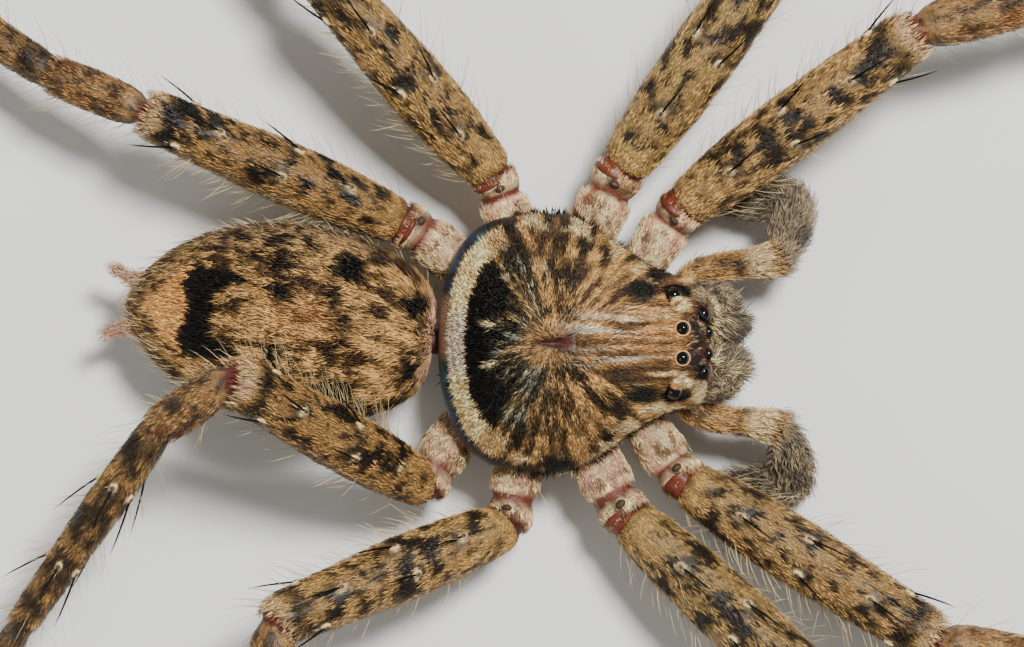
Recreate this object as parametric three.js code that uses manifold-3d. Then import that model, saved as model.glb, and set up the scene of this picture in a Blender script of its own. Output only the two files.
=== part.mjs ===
// A huntsman spider at life size, flattened and spread on eight long legs, in millimetres.
// +X runs towards the head, +Y to the spider's left, and the feet stand on z = 0.
import * as THREE from "three";
import { mergeVertices } from "three/addons/utils/BufferGeometryUtils.js";
import Module from "manifold-3d";

const wasm = await Module();
wasm.setup();

const V = (x, y, z) => new THREE.Vector3(x, y, z);
const UP = V(0, 0, 1);
const SIDES = { left: 1, right: -1 };

// The body's own point, under the middle of the carapace, from the centre of the whole stance
const BODY_X = -1.84;
const BODY_Y = -1.38;

// Widths left open where one piece meets the next
const GAP = 0.26;
const EYE_GAP = 0.08;

// The carapace: a low dome that narrows to a square head
const CARAPACE = {
  rear: -6.57,
  widest: -1.1,
  front: 6.71,
  halfWidth: 6.2,
  headHalfWidth: 3.15,
  headBlend: 6.8,
  headFrom: 4.9,
  marginZ: 5.0,
  rim: 0.35,
  dome: 3.2,
  domeFrom: -2.0,
  domeTo: 3.2,
};
const STERNUM = { x: -0.5, halfLength: 4.4, halfWidth: 2.7, bottomZ: 2.0 };

// The abdomen: an egg whose rear end swings a little to the spider's left
const ABDOMEN = {
  front: [-6.75, 0.15],
  length: 14.7,
  swing: 173.1,
  widestAt: 0.46,
  halfWidth: 4.68,
  above: 3.75,
  below: 3.1,
  frontZ: 4.5,
  middleZ: 4.75,
  rearZ: 3.9,
};

// Eyes as [x, y, radius, how far the lens looks forward, outward and up]
const EYES = {
  front_middle: [6.4, 0.54, 0.26, [1, 0.25, 0.35]],
  front_outer: [6.16, 1.46, 0.36, [0.8, 0.6, 0.35]],
  rear_middle: [5.06, 0.71, 0.34, [0.15, 0.1, 1]],
  rear_outer: [4.62, 2.38, 0.42, [-0.1, 0.85, 0.55]],
};
const EYE_BULGE = 0.35;
const TUBERCLE = 1.32;

// Lengths along each leg pair: femur, patella, tibia, metatarsus and tarsus
const LEG_LENGTHS = {
  1: [14.2, 6.3, 13.6, 12.6, 3.9],
  2: [15.6, 6.6, 14.6, 13.4, 4.0],
  3: [12.8, 5.4, 11.4, 10.6, 3.4],
  4: [13.5, 5.1, 12.4, 12.4, 3.6],
};
const THICKNESS = {
  1: { coxa: 1, femur: 1.13, tibia: 1.08 },
  2: { coxa: 1.08, femur: 1.16, tibia: 1.1 },
  3: { coxa: 1, femur: 1.1, tibia: 1.0 },
  4: { coxa: 1.02, femur: 1.06, tibia: 0.9 },
};
// Each leg: where its coxa and femur start, the heights of the femur's start and of the five
// joints after it, and the compass heading of each length, in degrees from the head towards
// the spider's left
const COXA_Z = 3.15;
const LEGS = {
  left_1: {
    root: [2.65, 2.45],
    elbow: [3.95, 5.1],
    hip: [5.2, 6.5],
    heights: [3.7, 7.4, 7.6, 4.2, 0.78, 0.42],
    headings: [37.2, 15, 12, 5, 2],
  },
  left_2: {
    root: [0.35, 2.9],
    elbow: [0.9, 6.3],
    hip: [2.24, 8.3],
    heights: [3.6, 6.6, 7.0, 4.0, 0.78, 0.42],
    headings: [54.5, 44, 38, 32, 28],
  },
  left_3: {
    root: [-1.95, 2.85],
    elbow: [-3.2, 6.1],
    hip: [-3.9, 8.05],
    heights: [3.6, 7.0, 7.3, 4.2, 0.78, 0.42],
    headings: [131, 120, 112, 106, 100],
  },
  left_4: {
    root: [-3.95, 2.1],
    elbow: [-6.3, 4.75],
    hip: [-8.25, 5.74],
    heights: [3.6, 6.3, 5.0, 3.3, 0.78, 0.42],
    headings: [156.8, 157.5, 147.5, 150, 152],
  },
  right_1: {
    root: [2.65, -2.45],
    elbow: [4.0, -5.2],
    hip: [5.35, -6.62],
    heights: [3.7, 5.4, 5.8, 3.6, 0.78, 0.42],
    headings: [-32.6, -13, -8, -2, 2],
  },
  right_2: {
    root: [0.35, -2.9],
    elbow: [0.95, -6.35],
    hip: [2.6, -8.4],
    heights: [3.6, 5.6, 6.0, 3.7, 0.78, 0.42],
    headings: [-42.5, -33, -26, -20, -17],
  },
  right_3: {
    root: [-1.95, -2.85],
    elbow: [-2.8, -6.3],
    hip: [-3.19, -8.7],
    heights: [3.6, 8.3, 8.5, 4.6, 0.78, 0.42],
    headings: [-158.2, -90, -92, -95, -98],
  },
  right_4: {
    root: [-3.95, -2.1],
    elbow: [-6.2, -4.9],
    hip: [-7.19, -6.86],
    heights: [3.6, 12.4, 9.6, 5.2, 0.78, 0.42],
    headings: [149, -147, -125.8, -121, -117],
  },
};

// Radii along each length as [share of the length, radius], wider through the middle
const COXA_GIRTH = [
  [0, 0.84],
  [0.33, 1.16],
  [0.58, 1.32],
  [0.74, 1.12],
  [0.87, 1.26],
  [1, 1.08],
];
const FEMUR_GIRTH = [
  [0, 0.98],
  [0.07, 1.22],
  [0.24, 1.42],
  [0.48, 1.48],
  [0.72, 1.34],
  [0.92, 1.2],
  [1, 1.04],
];
const PATELLA_GIRTH = [
  [0, 0.95],
  [0.12, 1.1],
  [0.5, 1.2],
  [0.88, 1.12],
  [1, 0.98],
];
const TIBIA_GIRTH = [
  [0.04, 1.06],
  [0.35, 1.14],
  [0.75, 0.98],
  [0.95, 0.9],
  [1, 0.78],
];
const METATARSUS_GIRTH = [
  [0, 0.74],
  [0.06, 0.84],
  [0.5, 0.72],
  [0.94, 0.6],
  [1, 0.54],
];
const TARSUS_GIRTH = [
  [0.08, 0.6],
  [0.48, 0.67],
  [0.84, 0.64],
  [1, 0.36],
];
const LIMB_SIDES = 12;

// Least step between the rings of a limb on the inside of a sharp bend
const RING_STEP = 0.12;

// Spines as [share of the length, angle from the top towards the head side, length, lean from
// square to the leg]
const FEMUR_SPINES = [
  [0.24, 0, 1.5, 50],
  [0.46, 31, 1.6, 50],
  [0.49, -33, 1.6, 50],
  [0.74, 0, 1.7, 52],
  [0.86, -72, 1.6, 45],
  [0.84, 70, 1.6, 45],
];
const TIBIA_SPINES = [
  [0.29, 12, 1.5, 48],
  [0.69, 12, 1.5, 48],
  [0.3, 80, 2.0, 45],
  [0.68, 80, 2.0, 45],
  [0.32, -80, 2.0, 45],
  [0.7, -80, 2.0, 45],
  [0.2, 150, 2.6, 48],
  [0.2, -150, 2.6, 48],
  [0.55, 150, 2.4, 50],
  [0.55, -150, 2.4, 50],
];
const METATARSUS_SPINES = [
  [0.25, 75, 1.9, 48],
  [0.25, -75, 1.9, 48],
  [0.6, 75, 1.5, 50],
  [0.6, -75, 1.5, 50],
];
const SPINE = { radius: 0.26, sunk: 0.3, sweep: 0.9, clearance: 0.35 };
// How far the rows of spines are turned about each leg, towards the head side
const ROLL = { left_4: 24, right_3: -14, right_4: -16 };

// Shares of a length that the femur's and tibia's upward bow rises at its middle
const FEMUR_BOW = 0.03;

function mid(a, b, share) {
  return a.clone().lerp(b, share);
}

function mix(a, b, share) {
  return a + (b - a) * share;
}

function heading(degrees) {
  const angle = THREE.MathUtils.degToRad(degrees);
  return V(Math.cos(angle), Math.sin(angle), 0);
}

// Half of a super-ellipse: 1 at u = 0 and 0 at u = 1
function shoulder(u, p, q) {
  const inside = 1 - Math.pow(Math.min(1, Math.max(0, u)), p);
  return Math.pow(Math.max(0, inside), 1 / q);
}

function solidOf(geometry) {
  const bare = geometry.clone();
  bare.deleteAttribute("normal");
  bare.deleteAttribute("uv");
  const merged = mergeVertices(bare, 1e-5);
  const triVerts = new Uint32Array(merged.index.array);
  const vertProperties = merged.attributes.position.array;
  const solid = new wasm.Manifold(new wasm.Mesh({ numProp: 3, vertProperties, triVerts }));
  if (solid.volume() > 0) return solid;
  for (let i = 0; i < triVerts.length; i += 3) {
    [triVerts[i + 1], triVerts[i + 2]] = [triVerts[i + 2], triVerts[i + 1]];
  }
  return new wasm.Manifold(new wasm.Mesh({ numProp: 3, vertProperties, triVerts }));
}

function geometryOf(solid) {
  const mesh = solid.getMesh();
  const positions = new Float32Array(mesh.numVert * 3);
  for (let i = 0; i < mesh.numVert; i++) {
    const from = i * mesh.numProp;
    positions.set(mesh.vertProperties.subarray(from, from + 3), i * 3);
  }
  const geometry = new THREE.BufferGeometry();
  geometry.setAttribute("position", new THREE.BufferAttribute(positions, 3));
  geometry.setIndex(new THREE.BufferAttribute(mesh.triVerts, 1));
  return geometry;
}

// Joins pieces and keeps the largest closed body
function joined(pieces) {
  const whole = pieces.reduce((sum, piece) => sum.add(piece));
  return whole.decompose().reduce((a, b) => (a.volume() > b.volume() ? a : b));
}

// A closed skin through rings of equal count, with a fan over each end
function loft(rings) {
  const count = rings[0].length;
  const points = rings.flat();
  const triangles = [];
  for (let r = 0; r + 1 < rings.length; r++) {
    for (let i = 0; i < count; i++) {
      const j = (i + 1) % count;
      const [a, b] = [r * count + i, r * count + j];
      triangles.push(a, b, b + count, a, b + count, a + count);
    }
  }
  const last = (rings.length - 1) * count;
  const middle = (ring) => ring.reduce((s, p) => s.add(p), V(0, 0, 0)).divideScalar(count);
  points.push(middle(rings[0]), middle(rings.at(-1)));
  for (let i = 0; i < count; i++) {
    const j = (i + 1) % count;
    triangles.push(j, i, points.length - 2, last + i, last + j, points.length - 1);
  }
  const geometry = new THREE.BufferGeometry().setFromPoints(points);
  geometry.setIndex(triangles);
  return solidOf(geometry);
}

// The level sideways direction across a line of travel, and the one square to both
function across(along, sideways) {
  const side = sideways ? sideways.clone() : UP.clone().cross(along).normalize();
  return { side, up: along.clone().cross(side).normalize() };
}

// Slides a point along a line until it is at least so far in front of a plane. Points of
// the end ring are always slid onto the plane.
function slide(p, along, plane, way, margin) {
  const ahead = way * p.clone().sub(plane.point).dot(plane.normal);
  if (margin > 0 && ahead >= margin) return;
  p.addScaledVector(along, (way * (margin - ahead)) / along.dot(plane.normal));
}

// A tube through stations of {point, radius}. Each end can be cut along a plane, and one that
// stands upright is given its sideways direction.
function tube(stations, sides, { from, to, floor, sideways } = {}) {
  const last = stations.length - 1;
  const rings = stations.map(({ point, radius }, k) => {
    const before = stations[Math.max(0, k - 1)].point;
    const after = stations[Math.min(last, k + 1)].point;
    const along = after.clone().sub(before).normalize();
    const { side, up } = across(along, sideways);
    return Array.from({ length: sides }, (_, i) => {
      const angle = (i / sides) * 2 * Math.PI;
      const p = point.clone();
      p.addScaledVector(side, Math.cos(angle) * radius);
      p.addScaledVector(up, Math.sin(angle) * radius);
      if (from && k < last / 2) slide(p, along, from, 1, k * RING_STEP);
      if (to && k > last / 2) slide(p, along, to, -1, (last - k) * RING_STEP);
      if (floor !== undefined) p.z = Math.max(p.z, floor);
      return p;
    });
  });
  return loft(rings);
}

// Stations from a to b with the radii of a girth list, rising to a bow at the middle
function stations(a, b, girth, { thickness = 1, bow = 0 } = {}) {
  const { up } = across(b.clone().sub(a).normalize());
  const rise = bow * a.distanceTo(b);
  return girth.map(([share, radius]) => ({
    point: mid(a, b, share).addScaledVector(up, rise * 4 * share * (1 - share)),
    radius: radius * thickness,
  }));
}

function ball(centre, [rx, ry, rz], segments = 12, rows = 8, turn = [0, 0, 0]) {
  const geometry = new THREE.SphereGeometry(1, segments, rows);
  geometry.rotateX(Math.PI / 2).scale(rx, ry, rz);
  geometry.rotateX(turn[0]).rotateY(turn[1]).rotateZ(turn[2]);
  geometry.translate(centre.x, centre.y, centre.z);
  return solidOf(geometry);
}

// Half the carapace's width at a distance x along the body
function carapaceHalfWidth(x) {
  const c = CARAPACE;
  if (x < c.widest) {
    return c.halfWidth * shoulder((c.widest - x) / (c.widest - c.rear), 3.5, 2.2);
  }
  const narrowing = Math.min(1, (x - c.widest) / c.headBlend);
  const body = (c.halfWidth - c.headHalfWidth) * Math.cos((Math.PI / 2) * narrowing) ** 2;
  return (c.headHalfWidth + body) * shoulder((x - c.headFrom) / (c.front - c.headFrom), 3.2, 2.4);
}

// Height of the carapace's top surface above the floor
function carapaceTop(x, y) {
  const c = CARAPACE;
  const headness = THREE.MathUtils.smoothstep(x, 0, 4.5);
  const behind = shoulder((c.domeFrom - x) / (c.domeFrom - c.rear), 2.2, 1.7);
  const ahead = shoulder((x - c.domeTo) / (c.front - c.domeTo), 2.8, 1.6);
  const sideways = Math.abs(y) / Math.max(1e-6, carapaceHalfWidth(x));
  const arch = shoulder(sideways, mix(2.1, 3.2, headness), mix(1.6, 1.8, headness));
  return c.marginZ + c.dome * behind * ahead * arch;
}

// The prosoma: dome, rim, hollowed flanks over the coxae, and the flat sternum below.
// Growing it gives the cutter that holds its neighbours clear.
function prosoma(grow = 0) {
  const c = CARAPACE;
  const spokes = 38;
  const centreX = c.widest;
  const outline = Array.from({ length: spokes }, (_, i) => {
    const angle = (i / spokes) * 2 * Math.PI;
    const ahead = Math.cos(angle) > 0 ? c.front - centreX : centreX - c.rear;
    const x = centreX + ahead * Math.cos(angle);
    return V(x, Math.sign(Math.sin(angle)) * carapaceHalfWidth(x), 0);
  });
  outline[0] = V(c.front, 0, 0);
  outline[spokes / 2] = V(c.rear, 0, 0);
  const ringAt = (share, height) =>
    outline.map((p) => {
      const q = V(centreX, 0, 0).lerp(p, share);
      const outward = p.clone().sub(V(centreX, 0, 0)).normalize();
      q.addScaledVector(outward, grow * share);
      q.z = typeof height === "number" ? height : height(mid(V(centreX, 0, 0), p, share));
      return q;
    });
  const above = (p) => carapaceTop(p.x, p.y) + grow;
  const bellyRing = (scale, z) =>
    Array.from({ length: spokes }, (_, i) => {
      const angle = (i / spokes) * 2 * Math.PI;
      const s = STERNUM;
      const x = s.x + (s.halfLength * scale + grow) * Math.cos(angle);
      return V(x, (s.halfWidth * scale + grow) * Math.sin(angle), z);
    });
  const rimZ = c.marginZ - c.rim - grow;
  return loft([
    ringAt(0.12, above),
    ringAt(0.38, above),
    ringAt(0.6, above),
    ringAt(0.76, above),
    ringAt(0.88, above),
    ringAt(0.96, above),
    ringAt(1, c.marginZ),
    ringAt(0.985, rimZ),
    bellyRing(1.12, rimZ),
    bellyRing(1, 3.2),
    bellyRing(0.94, STERNUM.bottomZ + 0.2 - grow),
    bellyRing(0.82, STERNUM.bottomZ - grow),
  ]);
}

// The lip and the two feeding lobes in front of the sternum
function mouthparts(grow = 0) {
  const sized = (radii) => radii.map((r) => r + grow);
  const lip = ball(V(3.7, 0, 2.5), sized([0.9, 0.75, 0.55]), 10, 6);
  const lobes = Object.values(SIDES).map((s) =>
    ball(V(3.9, s * 1.35, 2.75), sized([1.35, 0.72, 0.85]), 10, 8, [0, 0, s * 0.25]),
  );
  return [lip, ...lobes];
}

function eyePlaces() {
  return Object.entries(EYES).flatMap(([row, [x, y, radius, look]]) =>
    Object.entries(SIDES).map(([sideName, s]) => {
      const gaze = V(look[0], look[1] * s, look[2]).normalize();
      const centre = V(x, y * s, carapaceTop(x, y));
      centre.addScaledVector(gaze, radius * (EYE_BULGE - 0.75));
      return { name: `eye_${row}_${sideName}`, centre, radius, gaze };
    }),
  );
}

function eyeBall({ centre, radius }, grow = 0) {
  const r = radius + grow;
  return ball(centre, [r, r, r], 10, 7);
}

// Width, top and bottom of the abdomen at a share of its length from the front
function abdomenRing(share, grow, sides) {
  const a = ABDOMEN;
  const along = heading(a.swing);
  const side = UP.clone().cross(along);
  const u = share < a.widestAt ? (a.widestAt - share) / a.widestAt
    : (share - a.widestAt) / (1 - a.widestAt);
  const swell = share < a.widestAt ? shoulder(u, 1.7, 3.3) : shoulder(u, 2.1, 1.7);
  const drop = THREE.MathUtils.smoothstep(share, a.widestAt, 1);
  const z = mix(mix(a.frontZ, a.middleZ, Math.min(1, share / 0.3)), a.rearZ, drop);
  const reach = a.length * share + grow * (2 * share - 1);
  const centre = V(a.front[0], a.front[1], z).addScaledVector(along, reach);
  return Array.from({ length: sides }, (_, i) => {
    const angle = (i / sides) * 2 * Math.PI;
    const tall = Math.sin(angle) > 0 ? a.above : a.below;
    const p = centre.clone();
    p.addScaledVector(side, Math.cos(angle) * (a.halfWidth * swell + grow));
    p.z += Math.sin(angle) * (tall * swell + grow);
    return p;
  });
}

function abdomen(grow = 0) {
  const shares = [0.004, 0.03, 0.08, 0.16, 0.27, 0.4, 0.53, 0.65, 0.76, 0.86, 0.93, 0.98, 0.998];
  return loft(shares.map((share) => abdomenRing(share, grow, 22)));
}

// The stubby front spinnerets and the anal mound, fused to the abdomen's rear
function rearMounds() {
  const along = heading(ABDOMEN.swing);
  const side = UP.clone().cross(along);
  const rear = V(ABDOMEN.front[0], ABDOMEN.front[1], 0).addScaledVector(along, ABDOMEN.length);
  const mound = (back, sideways, z, size) =>
    ball(rear.clone().addScaledVector(along, -back).addScaledVector(side, sideways).setZ(z),
      size, 8, 6);
  return [
    mound(0.5, 0.45, 3.0, [0.85, 0.36, 0.4]),
    mound(0.5, -0.45, 3.0, [0.85, 0.36, 0.4]),
    mound(0.35, 0, 4.2, [0.7, 0.5, 0.4]),
  ];
}

// A two-jointed rear spinneret, splayed outward
function spinneret(s, clear) {
  const along = heading(ABDOMEN.swing);
  const side = UP.clone().cross(along).multiplyScalar(-s);
  const rear = V(ABDOMEN.front[0], ABDOMEN.front[1], 3.75).addScaledVector(along, ABDOMEN.length);
  const at = (back, sideways, rise, radius) => ({
    point: rear.clone().addScaledVector(along, back).addScaledVector(side, sideways)
      .add(V(0, 0, rise)),
    radius,
  });
  const solid = tube(
    [
      at(-1.6, 0.95, -0.1, 0.34),
      at(-0.3, 1.12, 0, 0.38),
      at(0.2, 1.24, 0.05, 0.33),
      at(0.3, 1.27, 0.06, 0.26),
      at(0.75, 1.5, 0.15, 0.27),
      at(0.98, 1.62, 0.22, 0.16),
    ],
    8,
  );
  return joined([solid.subtract(clear)]);
}

function pedicel(clears) {
  const waist = tube(
    [
      { point: V(-4.4, 0, 3.9), radius: 0.8 },
      { point: V(-5.6, 0.03, 3.9), radius: 0.7 },
      { point: V(-7.2, 0.1, 4.1), radius: 0.8 },
    ],
    10,
  );
  return joined([clears.reduce((left, clear) => left.subtract(clear), waist)]);
}

// One jaw: a stout upright barrel that bulges in front of the face
function chelicera(s, grow = 0) {
  return tube(
    [
      { point: V(5.95, s * 1.42, 5.7), radius: 0.75 + grow },
      { point: V(6.35, s * 1.44, 5.1), radius: 1.15 + grow },
      { point: V(6.75, s * 1.45, 4.1), radius: 1.3 + grow },
      { point: V(6.75, s * 1.45, 3.0), radius: 1.26 + grow },
      { point: V(6.6, s * 1.4, 2.0), radius: 1.02 + grow },
      { point: V(6.5, s * 1.32, 1.45 - grow), radius: 0.6 + grow },
    ],
    12,
    { sideways: V(0, 1, 0) },
  );
}

// The fang folds inward under its jaw
function fang(s) {
  const curve = new THREE.QuadraticBezierCurve3(
    V(7.0, s * 1.9, 1.35), V(6.9, s * 1.25, 0.42), V(6.2, s * 0.35, 0.95));
  const points = [0, 0.25, 0.5, 0.75, 1].map((t) => ({
    point: curve.getPoint(t),
    radius: mix(0.32, 0.07, t),
  }));
  const top = V(7.0, s * 1.95, 1.9);
  return joined([tube([{ point: top, radius: 0.3 }, ...points], 7).subtract(chelicera(s, GAP))]);
}

// The plane that parts two lengths where they meet, facing along the second
function parting(before, at, after, offset) {
  const inward = at.clone().sub(before).normalize();
  const outward = after.clone().sub(at).normalize();
  const normal = inward.add(outward).normalize();
  return { point: at.clone().addScaledVector(normal, offset), normal };
}

// The joints of one leg: coxa's start and elbow, hip, knee, shin, ankle, heel and toe
function legJoints({ root, elbow, hip, heights, headings }, pair) {
  const joints = [
    V(root[0], root[1], COXA_Z),
    V(elbow[0], elbow[1], COXA_Z),
    V(hip[0], hip[1], heights[0]),
  ];
  LEG_LENGTHS[pair].forEach((length, k) => {
    const rise = heights[k + 1] - heights[k];
    const level = Math.sqrt(length ** 2 - rise ** 2);
    const next = joints.at(-1).clone().addScaledVector(heading(headings[k]), level);
    joints.push(next.setZ(heights[k + 1]));
  });
  return joints;
}

// A stout bristle: a bent cone with four sides, sunk into the leg at its root and leaning
// towards the foot
function spine(base, outward, along, [length, lean]) {
  const angle = THREE.MathUtils.degToRad(lean);
  const way = outward.clone().multiplyScalar(Math.cos(angle));
  way.addScaledVector(along, Math.sin(angle));
  const sweep = way.clone().addScaledVector(along, SPINE.sweep).normalize();
  const middle = base.clone().addScaledVector(way, length * 0.45);
  const tip = middle.clone().addScaledVector(sweep, length * 0.55);
  const side = outward.clone().cross(along).normalize();
  const ring = (centre, radius, axis) => {
    const other = axis.clone().cross(side).normalize();
    return [0, 1, 2, 3].map((i) => {
      const turn = ((i + 0.5) * Math.PI) / 2;
      const p = centre.clone().addScaledVector(side, Math.cos(turn) * radius);
      return p.addScaledVector(other, Math.sin(turn) * radius);
    });
  };
  const root = base.clone().addScaledVector(way, -SPINE.sunk);
  const points = [...ring(root, SPINE.radius, way), ...ring(middle, SPINE.radius * 0.6, way), tip];
  const triangles = [0, 2, 1, 0, 3, 2];
  for (let i = 0; i < 4; i++) {
    const j = (i + 1) % 4;
    triangles.push(i, j, j + 4, i, j + 4, i + 4, i + 4, j + 4, 8);
  }
  const geometry = new THREE.BufferGeometry().setFromPoints(points);
  geometry.setIndex(triangles);
  return solidOf(geometry);
}

// Spines along the length from a to b, at [share, angle from the top towards the head side,
// length, lean]
function spines(a, b, girth, list, { thickness, bow = 0, roll = 0, s }) {
  const along = b.clone().sub(a).normalize();
  const { side, up } = across(along);
  return list.flatMap(([share, angle, length, lean]) => {
    const next = girth.findIndex(([end]) => end >= share);
    const [from, to] = [girth[next - 1], girth[next]];
    const radius = mix(from[1], to[1], (share - from[0]) / (to[0] - from[0])) * thickness;
    const turn = THREE.MathUtils.degToRad(angle + roll);
    const outward = up.clone().multiplyScalar(Math.cos(turn));
    outward.addScaledVector(side, -s * Math.sin(turn));
    const base = mid(a, b, share).addScaledVector(outward, radius * 0.97);
    base.addScaledVector(up, bow * a.distanceTo(b) * 4 * share * (1 - share));
    const reach = base.z + outward.z * length;
    return reach < SPINE.clearance ? [] : [spine(base, outward, along, [length, lean])];
  });
}

// The four pieces of one leg, parted at the hip, the knee and the ankle
function legPieces(joints, pair, s, roll, clears) {
  const [root, elbow, hip, knee, shin, ankle, heel, toe] = joints;
  const thick = THICKNESS[pair];
  const part = (a, at, b, way) => parting(a, at, b, (way * GAP) / 2);
  const path = new THREE.QuadraticBezierCurve3(root, elbow, hip);
  const coxa = tube(
    COXA_GIRTH.map(([share, radius]) => ({
      point: path.getPoint(share),
      radius: radius * thick.coxa,
    })),
    LIMB_SIDES,
    { to: part(path.getPoint(0.8), hip, knee, -1) },
  );
  const thigh = { thickness: thick.femur, bow: FEMUR_BOW, roll, s };
  const femur = tube(stations(hip, knee, FEMUR_GIRTH, thigh), LIMB_SIDES, {
    from: part(path.getPoint(0.8), hip, knee, 1),
    to: part(hip, knee, shin, -1),
  });
  const shank = { thickness: thick.tibia, roll, s };
  const tibia = tube(
    [...stations(knee, shin, PATELLA_GIRTH, shank), ...stations(shin, ankle, TIBIA_GIRTH, shank)],
    LIMB_SIDES,
    { from: part(hip, knee, shin, 1), to: part(shin, ankle, heel, -1) },
  );
  const tarsus = tube(
    [
      ...stations(ankle, heel, METATARSUS_GIRTH, shank),
      ...stations(heel, toe, TARSUS_GIRTH, shank),
    ],
    8,
    { from: part(shin, ankle, heel, 1), floor: 0 },
  );
  return {
    coxa: joined([clears.reduce((left, clear) => left.subtract(clear), coxa)]),
    femur: joined([femur, ...spines(hip, knee, FEMUR_GIRTH, FEMUR_SPINES, thigh)]),
    tibia: joined([tibia, ...spines(shin, ankle, TIBIA_GIRTH, TIBIA_SPINES, shank)]),
    tarsus: joined([tarsus, ...spines(ankle, heel, METATARSUS_GIRTH, METATARSUS_SPINES, shank)]),
  };
}

// The feeler beside the jaws, folded outward and back under the first leg
function palpPieces(s, clear) {
  const [root, hip, knee, wrist] = [
    V(4.6, s * 2.1, 3.5), V(5.6, s * 3.48, 3.7), V(9.95, s * 4.0, 3.7), V(10.7, s * 6.85, 2.5),
  ];
  const tip = V(6.8, s * 7.0, 1.4);
  const upper = tube(
    [
      { point: root, radius: 0.5 },
      { point: hip, radius: 0.6 },
      { point: mid(hip, knee, 0.3), radius: 0.72 },
      { point: mid(hip, knee, 0.55), radius: 0.68 },
      { point: mid(hip, knee, 0.62), radius: 0.72 },
      { point: mid(hip, knee, 0.85), radius: 0.88 },
      { point: knee, radius: 0.84 },
    ],
    8,
    { to: parting(hip, knee, wrist, -GAP / 2) },
  );
  const shin = tube(
    [
      { point: knee, radius: 0.78 },
      { point: mid(knee, wrist, 0.3), radius: 0.94 },
      { point: wrist, radius: 0.9 },
    ],
    8,
    { from: parting(hip, knee, wrist, GAP / 2) },
  );
  const bend = ball(wrist, [0.98, 0.98, 0.98], 8, 6);
  const foot = tube(
    [
      { point: wrist, radius: 0.86 },
      { point: mid(wrist, tip, 0.35), radius: 0.94 },
      { point: mid(wrist, tip, 0.7), radius: 0.78 },
      { point: mid(wrist, tip, 0.93), radius: 0.52 },
      { point: tip, radius: 0.3 },
    ],
    8,
  );
  return { femur: joined([upper.subtract(clear)]), tarsus: joined([shin, bend, foot]) };
}

const FINISHES = {
  carapace: { color: 0x8a6a42, roughness: 0.75 },
  abdomen: { color: 0x94744a, roughness: 0.8 },
  leg: { color: 0x8f7048, roughness: 0.78 },
  joint: { color: 0xb58f78, roughness: 0.6 },
  jaw: { color: 0x6b5846, roughness: 0.7 },
  fang: { color: 0x1c0e0b, roughness: 0.25 },
  eye: { color: 0x08090a, roughness: 0.08 },
  spinneret: { color: 0xa8786a, roughness: 0.7 },
};

const spider = new THREE.Group();
spider.position.set(BODY_X, BODY_Y, 0);

function add(name, solid, finish) {
  const material = new THREE.MeshStandardMaterial({ ...FINISHES[finish], metalness: 0 });
  const mesh = new THREE.Mesh(geometryOf(solid), material);
  mesh.name = name;
  spider.add(mesh);
}

// Body, with a raised rim round each eye and a socket for its lens
const places = eyePlaces();
const tubercles = places.map((eye) => {
  const r = eye.radius * TUBERCLE;
  return ball(eye.centre.clone().addScaledVector(eye.gaze, -0.12), [r, r, r], 8, 6);
});
const bodyShape = joined([prosoma(), ...mouthparts(), ...tubercles]);
const sockets = places.map((eye) => eyeBall(eye, EYE_GAP));
add("cephalothorax", joined([sockets.reduce((left, cut) => left.subtract(cut), bodyShape)]),
  "carapace");
places.forEach((eye) => add(eye.name, eyeBall(eye), "eye"));

const prosomaClear = joined([prosoma(GAP), ...mouthparts(GAP)]);
const abdomenClear = abdomen(GAP);
const abdomenShape = joined([abdomen(), ...rearMounds()]);
add("abdomen", joined([abdomenShape.subtract(prosomaClear)]), "abdomen");
add("pedicel", pedicel([prosomaClear, abdomenClear]), "joint");

for (const [sideName, s] of Object.entries(SIDES)) {
  add(`spinneret_${sideName}`, spinneret(s, abdomenClear), "spinneret");
  const jaw = chelicera(s).subtract(prosomaClear);
  add(`chelicera_${sideName}`, joined([jaw]), "jaw");
  add(`fang_${sideName}`, fang(s), "fang");
  const palp = palpPieces(s, prosomaClear);
  add(`palp_${sideName}_femur`, palp.femur, "leg");
  add(`palp_${sideName}_tarsus`, palp.tarsus, "leg");
}

for (const [place, leg] of Object.entries(LEGS)) {
  const pair = place.split("_")[1];
  const s = SIDES[place.split("_")[0]];
  const clears = [prosomaClear, abdomenClear];
  const pieces = legPieces(legJoints(leg, pair), pair, s, ROLL[place] ?? 0, clears);
  for (const [piece, solid] of Object.entries(pieces)) {
    add(`leg_${place}_${piece}`, solid, piece === "coxa" ? "joint" : "leg");
  }
}

export default spider;
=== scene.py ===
"""Looks for a life-size huntsman spider: skins, a coat of fine hair, spines, eyes and fangs.

Shapes are worked out in millimetres from the spider's own point under its carapace, with +X to
the head and +Y to its left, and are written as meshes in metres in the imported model's frame.
"""

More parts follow.
